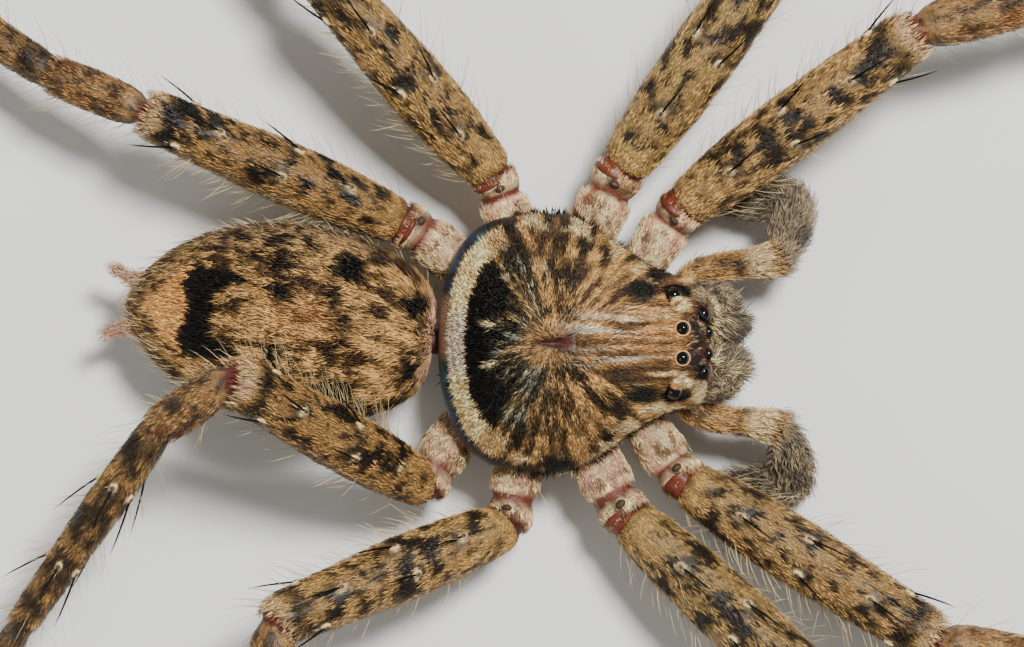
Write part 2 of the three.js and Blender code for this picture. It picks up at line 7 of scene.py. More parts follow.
import bpy
import numpy as np
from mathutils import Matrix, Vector


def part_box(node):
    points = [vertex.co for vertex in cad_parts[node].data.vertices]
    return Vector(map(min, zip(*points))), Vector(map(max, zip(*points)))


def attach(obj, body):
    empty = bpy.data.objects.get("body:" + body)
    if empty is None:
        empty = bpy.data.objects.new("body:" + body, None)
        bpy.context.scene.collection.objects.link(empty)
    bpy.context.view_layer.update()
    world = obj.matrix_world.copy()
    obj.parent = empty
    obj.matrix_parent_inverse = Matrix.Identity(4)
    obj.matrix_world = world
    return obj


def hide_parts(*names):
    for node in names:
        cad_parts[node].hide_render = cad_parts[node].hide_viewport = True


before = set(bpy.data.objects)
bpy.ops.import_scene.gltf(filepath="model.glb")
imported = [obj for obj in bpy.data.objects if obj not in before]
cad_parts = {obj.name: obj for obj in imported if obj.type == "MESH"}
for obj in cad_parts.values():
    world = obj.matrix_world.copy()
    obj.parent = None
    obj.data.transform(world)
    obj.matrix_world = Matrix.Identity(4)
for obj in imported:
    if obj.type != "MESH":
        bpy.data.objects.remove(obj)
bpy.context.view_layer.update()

MM = 0.001
SIDES = {"left": 1, "right": -1}

# The carapace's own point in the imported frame, in millimetres
BODY = np.array([-1.84, -1.38, 0.0])

# Depth of the hair over the skin
COAT = 0.12

# The carapace and sternum, as in the solids
CARAPACE = {
    "rear": -6.57,
    "widest": -1.1,
    "front": 6.71,
    "half_width": 6.2,
    "head_half_width": 3.15,
    "head_blend": 6.8,
    "head_from": 4.9,
    "margin_z": 5.0,
    "rim": 0.35,
    "dome": 3.2,
    "dome_from": -2.0,
    "dome_to": 3.2,
}
STERNUM = {"x": -0.5, "half_length": 4.4, "half_width": 2.7, "bottom_z": 2.0}
FOVEA_X = -1.05

ABDOMEN = {
    "front": (-6.75, 0.15),
    "length": 14.7,
    "swing": 173.1,
    "widest_at": 0.46,
    "half_width": 4.68,
    "above": 3.75,
    "below": 3.1,
    "front_z": 4.5,
    "middle_z": 4.75,
    "rear_z": 3.9,
}

# Lengths of a leg's femur, patella, tibia, metatarsus and tarsus
LEG_LENGTHS = {
    "1": (14.2, 6.3, 13.6, 12.6, 3.9),
    "2": (15.6, 6.6, 14.6, 13.4, 4.0),
    "3": (12.8, 5.4, 11.4, 10.6, 3.4),
    "4": (13.5, 5.1, 12.4, 12.4, 3.6),
}
COXA_Z = 3.15

# Legs, as where the coxa starts, turns and ends, the heights of the femur's start and of
# the next three joints, and the heading of each length
LEGS = {
    "left_1": ((2.65, 2.45), (3.95, 5.1), (5.2, 6.5),
               (3.7, 7.4, 7.6, 4.2), (37.2, 15, 12, 5, 2)),
    "left_2": ((0.35, 2.9), (0.9, 6.3), (2.24, 8.3),
               (3.6, 6.6, 7.0, 4.0), (54.5, 44, 38, 32, 28)),
    "left_3": ((-1.95, 2.85), (-3.2, 6.1), (-3.9, 8.05),
               (3.6, 7.0, 7.3, 4.2), (131, 120, 112, 106, 100)),
    "left_4": ((-3.95, 2.1), (-6.3, 4.75), (-8.25, 5.74),
               (3.6, 6.3, 5.0, 3.3), (156.8, 157.5, 147.5, 150, 152)),
    "right_1": ((2.65, -2.45), (4.0, -5.2), (5.35, -6.62),
               (3.7, 5.4, 5.8, 3.6), (-32.6, -13, -8, -2, 2)),
    "right_2": ((0.35, -2.9), (0.95, -6.35), (2.6, -8.4),
               (3.6, 5.6, 6.0, 3.7), (-42.5, -33, -26, -20, -17)),
    "right_3": ((-1.95, -2.85), (-2.8, -6.3), (-3.19, -8.7),
               (3.6, 8.3, 8.5, 4.6), (-158.2, -90, -92, -95, -98)),
    "right_4": ((-3.95, -2.1), (-6.2, -4.9), (-7.19, -6.86),
               (3.6, 12.4, 9.6, 5.2), (149, -147, -125.8, -121, -117)),
}
# Heights of the heel and the toe
FOOT_HEIGHTS = (0.78, 0.42)
THICKNESS = {
    "1": {"coxa": 1.0, "femur": 1.13, "tibia": 1.08},
    "2": {"coxa": 1.08, "femur": 1.16, "tibia": 1.1},
    "3": {"coxa": 1.0, "femur": 1.1, "tibia": 1.0},
    "4": {"coxa": 1.02, "femur": 1.06, "tibia": 0.9},
}
FEMUR_BOW = 0.03

# Radii along each length as (share, radius), narrowed where soft skin shows at a joint
GIRTH = {
    "coxa": ((0, 0.84), (0.33, 1.16), (0.58, 1.32), (0.72, 1.16), (0.76, 1.02), (0.8, 1.14),
             (0.89, 1.26), (0.97, 1.12), (1, 0.84)),
    "femur": ((0, 0.84), (0.025, 1.08), (0.08, 1.22), (0.24, 1.42), (0.48, 1.48),
              (0.72, 1.34), (0.92, 1.24), (0.965, 1.2), (0.985, 1.02), (1, 0.78)),
    "patella": ((0, 0.78), (0.05, 0.84), (0.1, 1.04), (0.2, 1.14), (0.5, 1.2), (0.88, 1.14),
                (0.95, 1.06), (1, 0.9)),
    "tibia": ((0, 0.9), (0.03, 1.04), (0.35, 1.14), (0.75, 0.98), (0.96, 0.92), (0.985, 0.84),
              (1, 0.66)),
    "metatarsus": ((0, 0.66), (0.02, 0.76), (0.06, 0.84), (0.5, 0.72), (0.96, 0.62),
                   (1, 0.54)),
    "tarsus": ((0, 0.54), (0.04, 0.6), (0.48, 0.66), (0.84, 0.64), (0.96, 0.5), (1, 0.3)),
}
SEGMENTS = ("coxa", "femur", "patella", "tibia", "metatarsus", "tarsus")

# Spines as (segment, share, angle from the top towards the head side, length)
SPINES = (
    ("femur", 0.24, 0, 1.5),
    ("femur", 0.46, 31, 1.6),
    ("femur", 0.49, -33, 1.6),
    ("femur", 0.74, 0, 1.7),
    ("femur", 0.86, -72, 1.6),
    ("femur", 0.84, 70, 1.6),
    ("tibia", 0.29, 12, 1.5),
    ("tibia", 0.69, 12, 1.5),
    ("tibia", 0.3, 80, 2.0),
    ("tibia", 0.68, 80, 2.0),
    ("tibia", 0.32, -80, 2.0),
    ("tibia", 0.7, -80, 2.0),
    ("tibia", 0.2, 150, 2.6),
    ("tibia", 0.2, -150, 2.6),
    ("tibia", 0.55, 150, 2.4),
    ("tibia", 0.55, -150, 2.4),
    ("metatarsus", 0.25, 75, 1.9),
    ("metatarsus", 0.25, -75, 1.9),
    ("metatarsus", 0.6, 75, 1.5),
    ("metatarsus", 0.6, -75, 1.5),
)
ROLL = {"left_4": 24, "right_3": -14, "right_4": -16}

# Camera: straight down, at the photo's framing
IMAGE_CENTRE = (-3.0, 0.93)
VIEW_PLANE_Z = 5.0
CAMERA_RISE = 260.0
FRAME_WIDTH = 48.8
SENSOR = 36.0


def smoothstep(x, low, high):
    """0 below low, 1 above high, and a smooth rise between."""
    t = np.clip((np.asarray(x, float) - low) / (high - low), 0, 1)
    return t * t * (3 - 2 * t)


def mix(a, b, share):
    """Blend of two numbers, or of two grids of numbers."""
    return a * (1 - share) + b * share


def blend(a, b, share):
    """Blend of two colours or directions, by a share for each point."""
    share = np.asarray(share, float)[..., None]
    return a * (1 - share) + b * share


class Paint:
    """A colour for each point, painted over again and again."""

    def __init__(self, tint):
        self.tint = tint

    def __call__(self, over, share):
        self.tint = blend(self.tint, over, share)
        return self.tint


def shoulder(u, p, q):
    """Half of a super-ellipse: 1 at u = 0 and 0 at u = 1."""
    return (1 - np.clip(u, 0, 1) ** p) ** (1 / q)


def unit(v):
    """Vectors of length 1."""
    return v / np.maximum(np.linalg.norm(v, axis=-1, keepdims=True), 1e-9)


def heading(degrees):
    """A level direction, in degrees from the head towards the spider's left."""
    angle = np.radians(degrees)
    return np.array([np.cos(angle), np.sin(angle), 0.0])


def colour(red, green, blue):
    """Linear colour from a screen colour of 0 to 255."""
    screen = np.array([red, green, blue]) / 255.0
    return np.where(screen < 0.04045, screen / 12.92, ((screen + 0.055) / 1.055) ** 2.4)


def noise(points, cell, seed):
    """Smooth random values from -1 to 1 over blobs about cell millimetres across."""
    p = np.asarray(points, float) / cell + seed * 17.31
    base = np.floor(p).astype(np.int64)
    t = p - base
    t = t * t * (3 - 2 * t)
    total = np.zeros(p.shape[:-1])
    for dx in (0, 1):
        for dy in (0, 1):
            for dz in (0, 1):
                corner = base + np.array([dx, dy, dz])
                mixed = corner[..., 0] * 73856093 ^ corner[..., 1] * 19349663
                mixed = (mixed ^ corner[..., 2] * 83492791 ^ seed * 2654435761) & 0xFFFFFFFF
                mixed = (mixed * 1103515245 + 12345) & 0xFFFFFFFF
                mixed = ((mixed ^ (mixed >> 15)) * 2246822519) & 0xFFFFFFFF
                value = (mixed >> 8 & 0xFFFF) / 32767.5 - 1
                weight = np.ones(p.shape[:-1])
                for axis, d in enumerate((dx, dy, dz)):
                    weight = weight * (t[..., axis] if d else 1 - t[..., axis])
                total += value * weight
    return total


def patches(points, cell, seed, low, high):
    """Soft random patches from 0 to 1, about cell millimetres across."""
    return smoothstep(noise(points, cell, seed), low, high)


def spot(x, y, centre, radius, edge=0.35):
    """1 inside a round or oval patch, fading to 0 over its edge."""
    rx, ry = (radius, radius) if np.isscalar(radius) else radius
    away = np.hypot((x - centre[0]) / rx, (y - centre[1]) / ry)
    return 1 - smoothstep(away, 1 - edge, 1 + edge)


def ridge(x, centre, width):
    """1 at a value and falling away smoothly on both sides of it."""
    return np.exp(-(((x - centre) / width) ** 2))


def between(x, low, high, edge):
    """1 between two values, with soft edges."""
    return smoothstep(x, low - edge, low + edge) * (1 - smoothstep(x, high - edge, high + edge))


def place(points):
    """Millimetres from the spider's own point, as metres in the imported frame."""
    return (np.asarray(points) + BODY) * MM


# What a bare place keeps of a hair's chance to grow, so that the chances never add up to none
LEAST_WEIGHT = 1e-9


class Sheet:
    """A closed skin on a grid of rings, with the normals and the flow that its coat needs."""

    def __init__(self, points, flow):
        self.points = points
        rings, count = points.shape[:2]
        down = np.gradient(points, axis=0)
        around = np.roll(points, -1, axis=1) - np.roll(points, 1, axis=1)
        across = np.cross(around, down)
        self.turned = (across * (points - points.mean((0, 1)))).sum() < 0
        self.normals = unit(-across if self.turned else across)
        self.flow = unit(np.zeros_like(points) + flow)
        self.rows = {}
        rows, columns = np.meshgrid(np.linspace(0, 1, rings), np.arange(count) / count,
                                    indexing="ij")
        self.shares = np.stack([columns, rows], -1)

    def row_value(self, name, shares):
        """The value that a ring carries, at each place."""
        values = self.rows[name]
        row = np.rint(shares[..., 1] * (len(values) - 1)).astype(int)
        return values[row]

    def faces(self):
        """Triangles between the rings, and a fan over each end."""
        rings, count = self.points.shape[:2]
        index = np.arange(rings * count).reshape(rings, count)
        after = np.roll(index, -1, axis=1)
        quads = np.stack([index[:-1], after[:-1], after[1:], index[1:]], -1).reshape(-1, 4)
        first = np.stack([after[0], index[0], np.full(count, rings * count)], -1)
        last = np.stack([index[-1], after[-1], np.full(count, rings * count + 1)], -1)
        split = np.concatenate([quads[:, [0, 1, 2]], quads[:, [0, 2, 3]], first, last])
        return split[:, ::-1] if self.turned else split

    def vertices(self, grid):
        """Grid values as a list, with the two end middles added."""
        flat = grid.reshape(-1, grid.shape[-1])
        return np.concatenate([flat, grid[0].mean(0)[None], grid[-1].mean(0)[None]])

    def pick(self, shares):
        """Point, normal and flow at places given by their shares around and along."""
        rings, count = self.points.shape[:2]
        row = np.clip(shares[:, 1] * (rings - 1), 0, rings - 1.001)
        column = shares[:, 0] % 1 * count
        r0, c0 = row.astype(int), column.astype(int) % count
        c1 = (c0 + 1) % count
        u, v = (row - r0)[:, None], (column % 1)[:, None]
        found = {"share": np.stack([shares[:, 0] % 1, shares[:, 1]], -1)}
        for name, grid in (("point", self.points), ("normal", self.normals), ("flow", self.flow)):
            near = grid[r0, c0] * (1 - v) + grid[r0, c1] * v
            far = grid[r0 + 1, c0] * (1 - v) + grid[r0 + 1, c1] * v
            found[name] = near * (1 - u) + far * u
        found["normal"] = unit(found["normal"])
        flow = found["flow"]
        lean = (flow * found["normal"]).sum(-1, keepdims=True)
        found["flow"] = unit(flow - lean * found["normal"])
        return found

    def sample(self, count, weight=None):
        """Random places, spread evenly over the surface or by a weight for each point."""
        p = self.points
        right = np.roll(p, -1, axis=1)
        area = np.linalg.norm(np.cross(right[:-1] - p[:-1], p[1:] - p[:-1]), axis=-1)
        if weight is not None:
            area = area * (weight[:-1] + LEAST_WEIGHT)
        cells = rng.choice(area.size, size=count, p=area.ravel() / area.sum())
        row, column = np.divmod(cells, p.shape[1])
        across = (column + rng.random(count)) / p.shape[1]
        along = (row + rng.random(count)) / (p.shape[0] - 1)
        return self.pick(np.stack([across, along], -1))


def new_object(name, vertices, triangles, tints, corners):
    """A mesh object from arrays, with a colour for each point and a map for baking."""
    mesh = bpy.data.meshes.new(name)
    mesh.vertices.add(len(vertices))
    mesh.vertices.foreach_set("co", place(vertices).astype(np.float32).ravel())
    mesh.loops.add(triangles.size)
    mesh.loops.foreach_set("vertex_index", triangles.astype(np.int32).ravel())
    mesh.polygons.add(len(triangles))
    mesh.polygons.foreach_set("loop_start", np.arange(0, triangles.size, 3, dtype=np.int32))
    mesh.polygons.foreach_set("loop_total", np.full(len(triangles), 3, dtype=np.int32))
    mesh.polygons.foreach_set("use_smooth", np.full(len(triangles), True))
    mesh.update()
    layer = mesh.color_attributes.new("tint", "FLOAT_COLOR", "POINT")
    rgba = np.concatenate([np.clip(tints, 0, 1), np.ones((len(tints), 1))], -1)
    layer.data.foreach_set("color", rgba.astype(np.float32).ravel())
    layer = mesh.uv_layers.new(name="OFBake")
    layer.data.foreach_set("uv", corners.astype(np.float32).ravel())
    obj = bpy.data.objects.new(name, mesh)
    bpy.context.scene.collection.objects.link(obj)
    return obj


def dress(obj, material, slot, *nodes):
    """Gives a piece its material, rides it on the body, and hides what it replaces. The slot is
    not used.
    """
    obj.data.materials.append(material)
    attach(obj, "root")
    if nodes:
        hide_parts(*nodes)
    return obj


def skin_object(name, sheet, tints, material, slot, *nodes):
    """The skin of a sheet, in one colour or with its markings."""
    triangles = sheet.faces()
    corners = sheet.vertices(sheet.shares)[triangles]
    wraps = corners[..., 0].max(1) - corners[..., 0].min(1) > 0.5
    corners[wraps, :, 0] += (corners[wraps, :, 0] < 0.5) * 1.0
    corners *= 0.98
    tints = sheet.vertices(np.zeros_like(sheet.points) + tints)
    obj = new_object(name, sheet.vertices(sheet.points), triangles, tints, corners)
    return dress(obj, material, slot, *nodes)


# A hair is a long dart: a sunk root, three points where it is widest, and a tip
DART = np.array([[0, 1, 3], [0, 3, 2], [0, 2, 1], [4, 3, 1], [4, 2, 3], [4, 1, 2]])
DART_CORNERS = np.array([[0.5, 0], [0, 0.5], [1, 0.5], [0.5, 0.6], [0.5, 1]]) - 0.5
DART_SHADE = np.array([0.5, 0.9, 0.9, 1.0, 1.25])
DART_MIDDLE = 0.42
TIP_FLATTEN = 0.3
BAKE_PATCH = 0.003

# Hairs that would pass through the floor lie bent along it
FLOOR_GAP = 0.02
FLOOR_FOLD = 0.05


def above_floor(points):
    """Folds whatever would sink below the floor flat over it."""
    sunk = np.maximum(FLOOR_GAP - points[..., 2], 0)
    points[..., 2] += sunk * (1 + FLOOR_FOLD)
    return points


def darts(found, way, length, width, lift):
    """Points of one dart for each root, leaning along way and lying flatter to its tip."""
    normal = found["normal"]
    up = np.radians(lift)[:, None]
    reach = length[:, None]
    first = way * np.cos(up) + normal * np.sin(up)
    second = way * np.cos(up * TIP_FLATTEN) + normal * np.sin(up * TIP_FLATTEN)
    centre = found["point"] + first * reach * DART_MIDDLE
    tip = centre + second * reach * (1 - DART_MIDDLE)
    side = unit(np.cross(normal, way)) * width[:, None] / 2
    crest = centre + normal * width[:, None] * 0.4
    sunk = found["point"] - normal * 0.05
    return above_floor(np.stack([sunk, centre - side, centre + side, crest, tip], 1))


def turned_flow(found, spread):
    """The flow at each root, turned a little to one side or the other."""
    turn = np.radians(rng.normal(0, spread, len(found["flow"])))[:, None]
    flow, normal = found["flow"], found["normal"]
    return flow * np.cos(turn) + np.cross(normal, flow) * np.sin(turn)


# Coats, as the number of hairs, their length and width, and the angles by which they stand up
# and stray from their course
COATS = {
    "thorax": (30200, 0.5, 0.05, 15, 14),
    "head": (14000, 0.42, 0.042, 13, 10),
    "face": (2200, 0.5, 0.04, 20, 10),
    "brow": (420, 0.17, 0.03, 10, 10),
    "abdomen": (32000, 0.75, 0.06, 14, 13),
    "spinneret": (500, 0.42, 0.035, 32, 20),
    "leg": (14600, 0.5, 0.05, 12, 11),
    "fleece": (3400, 0.42, 0.045, 10, 18),
    "leg_base": (420, 0.3, 0.045, 42, 16),
    "jaw": (5200, 0.75, 0.045, 24, 34),
    "jaw_tufts": (1500, 0.85, 0.045, 12, 22),
    "palp": (5200, 0.55, 0.045, 20, 18),
    "palp_tufts": (2600, 0.8, 0.045, 38, 24),
}


def coat(name, sheet, kind, tint_of, weight=None, comb=None):
    """Covers a sheet with hairs that lie along its flow, darker at the root than at the tip."""
    count, length, width, lift, spread = COATS[kind]
    found = sheet.sample(count, weight)
    if comb is not None:
        comb(found)
    way = turned_flow(found, spread)
    size = length * rng.uniform(0.65, 1.3, count)
    lifts = np.clip(rng.normal(lift, lift * 0.4, count), 3, 75)
    hairs = darts(found, way, size, width * rng.uniform(0.75, 1.25, count), lifts)
    clump = 1 + 0.3 * noise(found["point"], 0.28, 21)
    tints = tint_of(found) * (rng.uniform(0.7, 1.35, count) * clump)[:, None]
    colours = tints[:, None, :] * DART_SHADE[None, :, None]
    triangles = (np.arange(count) * 5)[:, None, None] + DART[None]
    uv = found["share"][:, None, :] * 0.98 + 0.01 + DART_CORNERS[None] * BAKE_PATCH
    corners = uv.reshape(-1, 2)[triangles.reshape(-1, 3)]
    obj = new_object(
        name, hairs.reshape(-1, 3), triangles.reshape(-1, 3), colours.reshape(-1, 3), corners
    )
    return dress(obj, HAIR, "coat")


def spikes(name, found, way, length, radius, lift, droop, tints, material, slot, sides=3):
    """Curved, pointed bristles or spines, each closed at its root."""
    count = len(length)
    normal = found["normal"]
    lift = np.zeros(count) + lift
    up, down = np.radians(lift)[:, None], np.radians(lift - droop)[:, None]
    first = way * np.cos(up) + normal * np.sin(up)
    second = way * np.cos(down) + normal * np.sin(down)
    half = length[:, None] / 2
    root = found["point"] - normal * 0.08
    elbow = root + first * half
    tip = elbow + second * half
    across = unit(np.cross(first, normal))
    rings = []
    for t, girth in ((0.0, 1.0), (0.35, 0.9), (0.7, 0.66)):
        centre = root * (1 - t) ** 2 + elbow * 2 * t * (1 - t) + tip * t**2
        along = unit(blend(first, second, np.full(count, t)))
        upward = unit(np.cross(across, along))
        for k in range(sides):
            angle = 2 * np.pi * k / sides
            out = across * np.cos(angle) + upward * np.sin(angle)
            rings.append(centre + out * (radius * girth))
    points = above_floor(np.stack(rings + [tip], 1))
    each = points.shape[1]
    faces = [[0, k + 1, k] for k in range(1, sides - 1)]
    for ring in (0, sides):
        for k in range(sides):
            a, b = ring + k, ring + (k + 1) % sides
            faces += [[a, b, b + sides], [a, b + sides, a + sides]]
    faces += [[2 * sides + k, 2 * sides + (k + 1) % sides, 3 * sides] for k in range(sides)]
    triangles = (np.arange(count) * each)[:, None, None] + np.array(faces)[None]
    level = np.append(np.repeat([0, 0.35, 0.7], sides), 1) - 0.5
    turn = np.append(np.tile(np.arange(sides) / sides, 3), 0.5) - 0.5
    patch = np.stack([turn, level], -1) * BAKE_PATCH
    uv = found["share"][:, None, :] * 0.98 + 0.01 + patch[None]
    corners = uv.reshape(-1, 2)[triangles.reshape(-1, 3)]
    colours = np.repeat(np.zeros_like(root) + tints, each, axis=0)
    obj = new_object(name, points.reshape(-1, 3), triangles.reshape(-1, 3), colours, corners)
    return dress(obj, material, slot)


PILLOW_RINGS = (0.05, 0.45, 0.75, 0.93, 1.0, 0.9)
PILLOW_AROUND = 16


def pillow(leg, share, half_turn, half_length, height, point_end=0.0):
    """A low domed patch that follows a leg, narrower to its far end by point_end."""
    half_share = half_length / LEG_STEP / (len(leg.rows["reach"]) - 1)
    rings = []
    for reach in PILLOW_RINGS:
        angle = np.arange(PILLOW_AROUND) / PILLOW_AROUND * 2 * np.pi
        along = np.cos(angle) * reach
        around = np.sin(angle) * reach * (1 - point_end * (along + 1) / 2)
        shares = np.stack([share[0] + around * half_turn, share[1] + along * half_share], -1)
        found = leg.pick(shares)
        rise = height * np.sqrt(1 - reach**2) if len(rings) < len(PILLOW_RINGS) - 1 else -0.1
        rings.append(found["point"] + found["normal"] * rise)
    return Sheet(np.array(rings), [1.0, 0, 0])


# Shapes

def carapace_half_width(x):
    """Half the carapace's width at a distance x along the body."""
    c = CARAPACE
    behind = c["half_width"] * shoulder((c["widest"] - x) / (c["widest"] - c["rear"]), 3.5, 2.2)
    narrowing = np.clip((x - c["widest"]) / c["head_blend"], 0, 1)
    body = (c["half_width"] - c["head_half_width"]) * np.cos(np.pi / 2 * narrowing) ** 2
    tip = shoulder((x - c["head_from"]) / (c["front"] - c["head_from"]), 3.2, 2.4)
    return np.where(x < c["widest"], behind, (c["head_half_width"] + body) * tip)


def carapace_top(x, y):
    """Height of the carapace above the floor."""
    c = CARAPACE
    headness = smoothstep(x, 0, 4.5)
    behind = shoulder((c["dome_from"] - x) / (c["dome_from"] - c["rear"]), 2.2, 1.7)
    ahead = shoulder((x - c["dome_to"]) / (c["front"] - c["dome_to"]), 2.8, 1.6)
    sideways = np.abs(y) / np.maximum(1e-6, carapace_half_width(x))
    p = mix(2.1, 3.2, headness)
    q = mix(1.6, 1.8, headness)
    arch = (1 - np.clip(sideways, 0, 1) ** p) ** (1 / q)
    return c["margin_z"] + c["dome"] * behind * ahead * arch


def furrows(x, y):
    """How far the middle pit, the neck groove and the rays sink the carapace."""
    pit = 0.28 * ridge(x, FOVEA_X, 0.7) * ridge(y, 0, 0.2)
    along = x - FOVEA_X
    away = np.hypot(along, y)
    angle = np.degrees(np.arctan2(np.abs(y), along))
    depth = between(away, 1.0, 4.8, 0.7)
    groove = 0.2 * ridge(angle, 38, 7)
    rays = sum(0.09 * ridge(angle, at, 6) for at in (66, 90, 113, 136))
    return pit + (groove + rays) * depth


# Mounds under the rear eyes, as (x, y, height, radius)
MOUNDS = ((4.66, 2.35, 0.2, 0.6), (5.06, 0.71, 0.1, 0.5))


def mounds(x, y):
    """How far the eyes' mounds raise the head."""
    return sum(
        height * np.exp(-((x - at) ** 2 + (np.abs(y) - off) ** 2) / radius**2)
        for at, off, height, radius in MOUNDS
    )


def body_sheet():
    """The carapace, its rim, the hollowed flanks and the sternum, as one closed skin."""
    c = CARAPACE
    around = 190
    angle = np.arange(around) / around * 2 * np.pi
    ahead = np.where(np.cos(angle) > 0, c["front"] - c["widest"], c["widest"] - c["rear"])
    x = c["widest"] + ahead * np.cos(angle)
    y = np.sign(np.sin(angle)) * carapace_half_width(x)
    middle = np.array([c["widest"], 0.0])
    edge = np.stack([x, y], -1)
    outward = unit(edge - middle)
    rings, reaches = [], []
    for share in 1 - (1 - np.linspace(0.01, 1, 76)) ** 1.3:
        flat = middle + (edge - middle) * share - outward * COAT * share
        top = carapace_top(*(middle + (edge - middle) * share).T) - COAT
        top = top - furrows(*flat.T) + mounds(*flat.T) * (1 - share**4)
        rings.append(np.column_stack([flat, np.maximum(top, c["margin_z"] - 0.05)]))
        reaches.append(share)
    rim_z = c["margin_z"] - c["rim"] + COAT
    rings.append(np.column_stack([edge - outward * COAT, np.full(around, rim_z)]))
    reaches.append(1.05)
    bottom = STERNUM["bottom_z"]
    for scale, z in ((1.12, rim_z + 0.02), (1.04, 3.9), (1.0, 3.2), (0.97, 2.6),
                     (0.9, bottom + 0.15), (0.75, bottom + COAT), (0.4, bottom + COAT),
                     (0.05, bottom + COAT)):
        rings.append(
            np.column_stack([
                STERNUM["x"] + (STERNUM["half_length"] * scale - COAT) * np.cos(angle),
                (STERNUM["half_width"] * scale - COAT) * np.sin(angle),
                np.full(around, z),
            ])
        )
        reaches.append(1.2 if z > bottom + 0.5 else 1.5)
    points = np.array(rings)
    from_pit = points - np.array([FOVEA_X, 0, 0])
    from_pit[..., 2] = 0
    headness = smoothstep(points[..., 0], 0.5, 3.5)
    sheet = Sheet(points, blend(unit(from_pit), np.array([1.0, 0, 0]), headness))
    sheet.rows["reach"] = np.array(reaches)
    return sheet


ABDOMEN_ALONG = heading(ABDOMEN["swing"])
ABDOMEN_LEFT = np.array([ABDOMEN_ALONG[1], -ABDOMEN_ALONG[0], 0])


def abdomen_sheet():
    """The egg of the abdomen, ring by ring from its front."""
    a = ABDOMEN
    angle = np.arange(120) / 120 * 2 * np.pi
    rings = []
    for share in 0.5 - 0.5 * np.cos(np.linspace(0.04, np.pi - 0.03, 100)):
        if share < a["widest_at"]:
            swell = shoulder((a["widest_at"] - share) / a["widest_at"], 1.7, 3.3)
        else:
            swell = shoulder((share - a["widest_at"]) / (1 - a["widest_at"]), 2.1, 1.7)
        z = mix(a["front_z"], a["middle_z"], min(1, share / 0.3))
        z = mix(z, a["rear_z"], smoothstep(share, a["widest_at"], 1))
        reach = COAT + (a["length"] - 2 * COAT) * share
        centre = np.array([*a["front"], z]) + ABDOMEN_ALONG * reach
        tall = np.where(np.sin(angle) > 0, a["above"], a["below"]) * swell
        wide = max(a["half_width"] * swell - COAT, 0.02)
        side = ABDOMEN_LEFT * (np.cos(angle) * wide)[:, None]
        rise = np.outer(np.sin(angle) * np.maximum(tall - COAT, 0.02), [0, 0, 1.0])
        rings.append(centre + side + rise)
    points = np.array(rings)
    return Sheet(points, ABDOMEN_ALONG)


def girth_at(name, shares):
    """Radii along one length, eased between its named stations."""
    stations = np.array(GIRTH[name], float)
    dense = np.linspace(0, 1, 401)
    radii = np.interp(dense, stations[:, 0], stations[:, 1])
    kernel = np.hanning(13)
    padded = np.concatenate([radii[:1].repeat(6), radii, radii[-1:].repeat(6)])
    return np.interp(shares, dense, np.convolve(padded, kernel / kernel.sum(), "valid"))


def leg_joints(leg, pair):
    """Root, elbow, hip, knee, shin, ankle, heel and toe of one leg."""
    root, elbow, hip, heights, headings = leg
    heights = heights + FOOT_HEIGHTS
    joints = [np.array([*root, COXA_Z]), np.array([*elbow, COXA_Z]), np.array([*hip, heights[0]])]
    for k, length in enumerate(LEG_LENGTHS[pair]):
        rise = heights[k + 1] - heights[k]
        level = np.sqrt(length**2 - rise**2)
        step = heading(headings[k]) * level
        joints.append(joints[-1] + step + np.array([0, 0, rise]))
    return joints


LEG_STEP = 0.2


def leg_line(leg, pair):
    """Points, radii, segment numbers and shares at short steps along one leg."""
    joints = leg_joints(leg, pair)
    root, elbow, hip = joints[:3]
    line = []
    for k, name in enumerate(SEGMENTS):
        length = np.linalg.norm(hip - root) if k == 0 else LEG_LENGTHS[pair][k - 1]
        steps = int(length / LEG_STEP)
        shares = (np.arange(steps) + 0.5) / steps
        t = shares[:, None]
        if k == 0:
            points = root * (1 - t) ** 2 + elbow * 2 * t * (1 - t) + hip * t**2
        else:
            points = joints[k + 1] * (1 - t) + joints[k + 2] * t
        if name == "femur":
            along = unit(joints[k + 2] - joints[k + 1])
            lift = unit(np.cross(along, np.cross([0, 0, 1], along)))
            points = points + lift * FEMUR_BOW * length * 4 * t * (1 - t)
        thick = THICKNESS[pair][name if name in ("coxa", "femur") else "tibia"]
        radii = girth_at(name, shares) * thick
        line.append(np.column_stack([points, radii, np.full(steps, k), shares]))
    return np.concatenate(line)


def eased_line(points, spread):
    """A line with its corners rounded over a few neighbouring points."""
    pad = 3 * spread
    kernel = np.exp(-0.5 * (np.arange(-pad, pad + 1) / spread) ** 2)
    kernel /= kernel.sum()
    start = points[0] + (points[0] - points[1]) * np.arange(pad, 0, -1)[:, None]
    end = points[-1] + (points[-1] - points[-2]) * np.arange(1, pad + 1)[:, None]
    padded = np.concatenate([start, points, end])
    return np.stack([np.convolve(padded[:, i], kernel, "valid") for i in range(3)], -1)


def tube_sheet(points, radii, around, s=1, floor=None, sideways=None):
    """A tube along a line. Its angle runs from the top towards the head side, on side s."""
    along = unit(np.gradient(points, axis=0))
    if sideways is None:
        side = unit(np.cross([0, 0, 1.0], along)) * -s
    else:
        side = np.zeros_like(points) + sideways
    up = unit(np.cross(side, along)) * s
    angle = np.arange(around) / around * 2 * np.pi
    ring = np.cos(angle)[:, None] * up[:, None] + np.sin(angle)[:, None] * side[:, None]
    grid = points[:, None] + ring * radii[:, None, None]
    if floor is not None:
        grid[..., 2] = np.maximum(grid[..., 2], floor)
    sheet = Sheet(grid, along[:, None])
    sheet.normals = unit(ring)
    steps = np.linalg.norm(np.diff(points, axis=0), axis=1)
    sheet.rows["reach"] = np.concatenate([[0], np.cumsum(steps)])
    sheet.rows["radius"] = radii
    return sheet


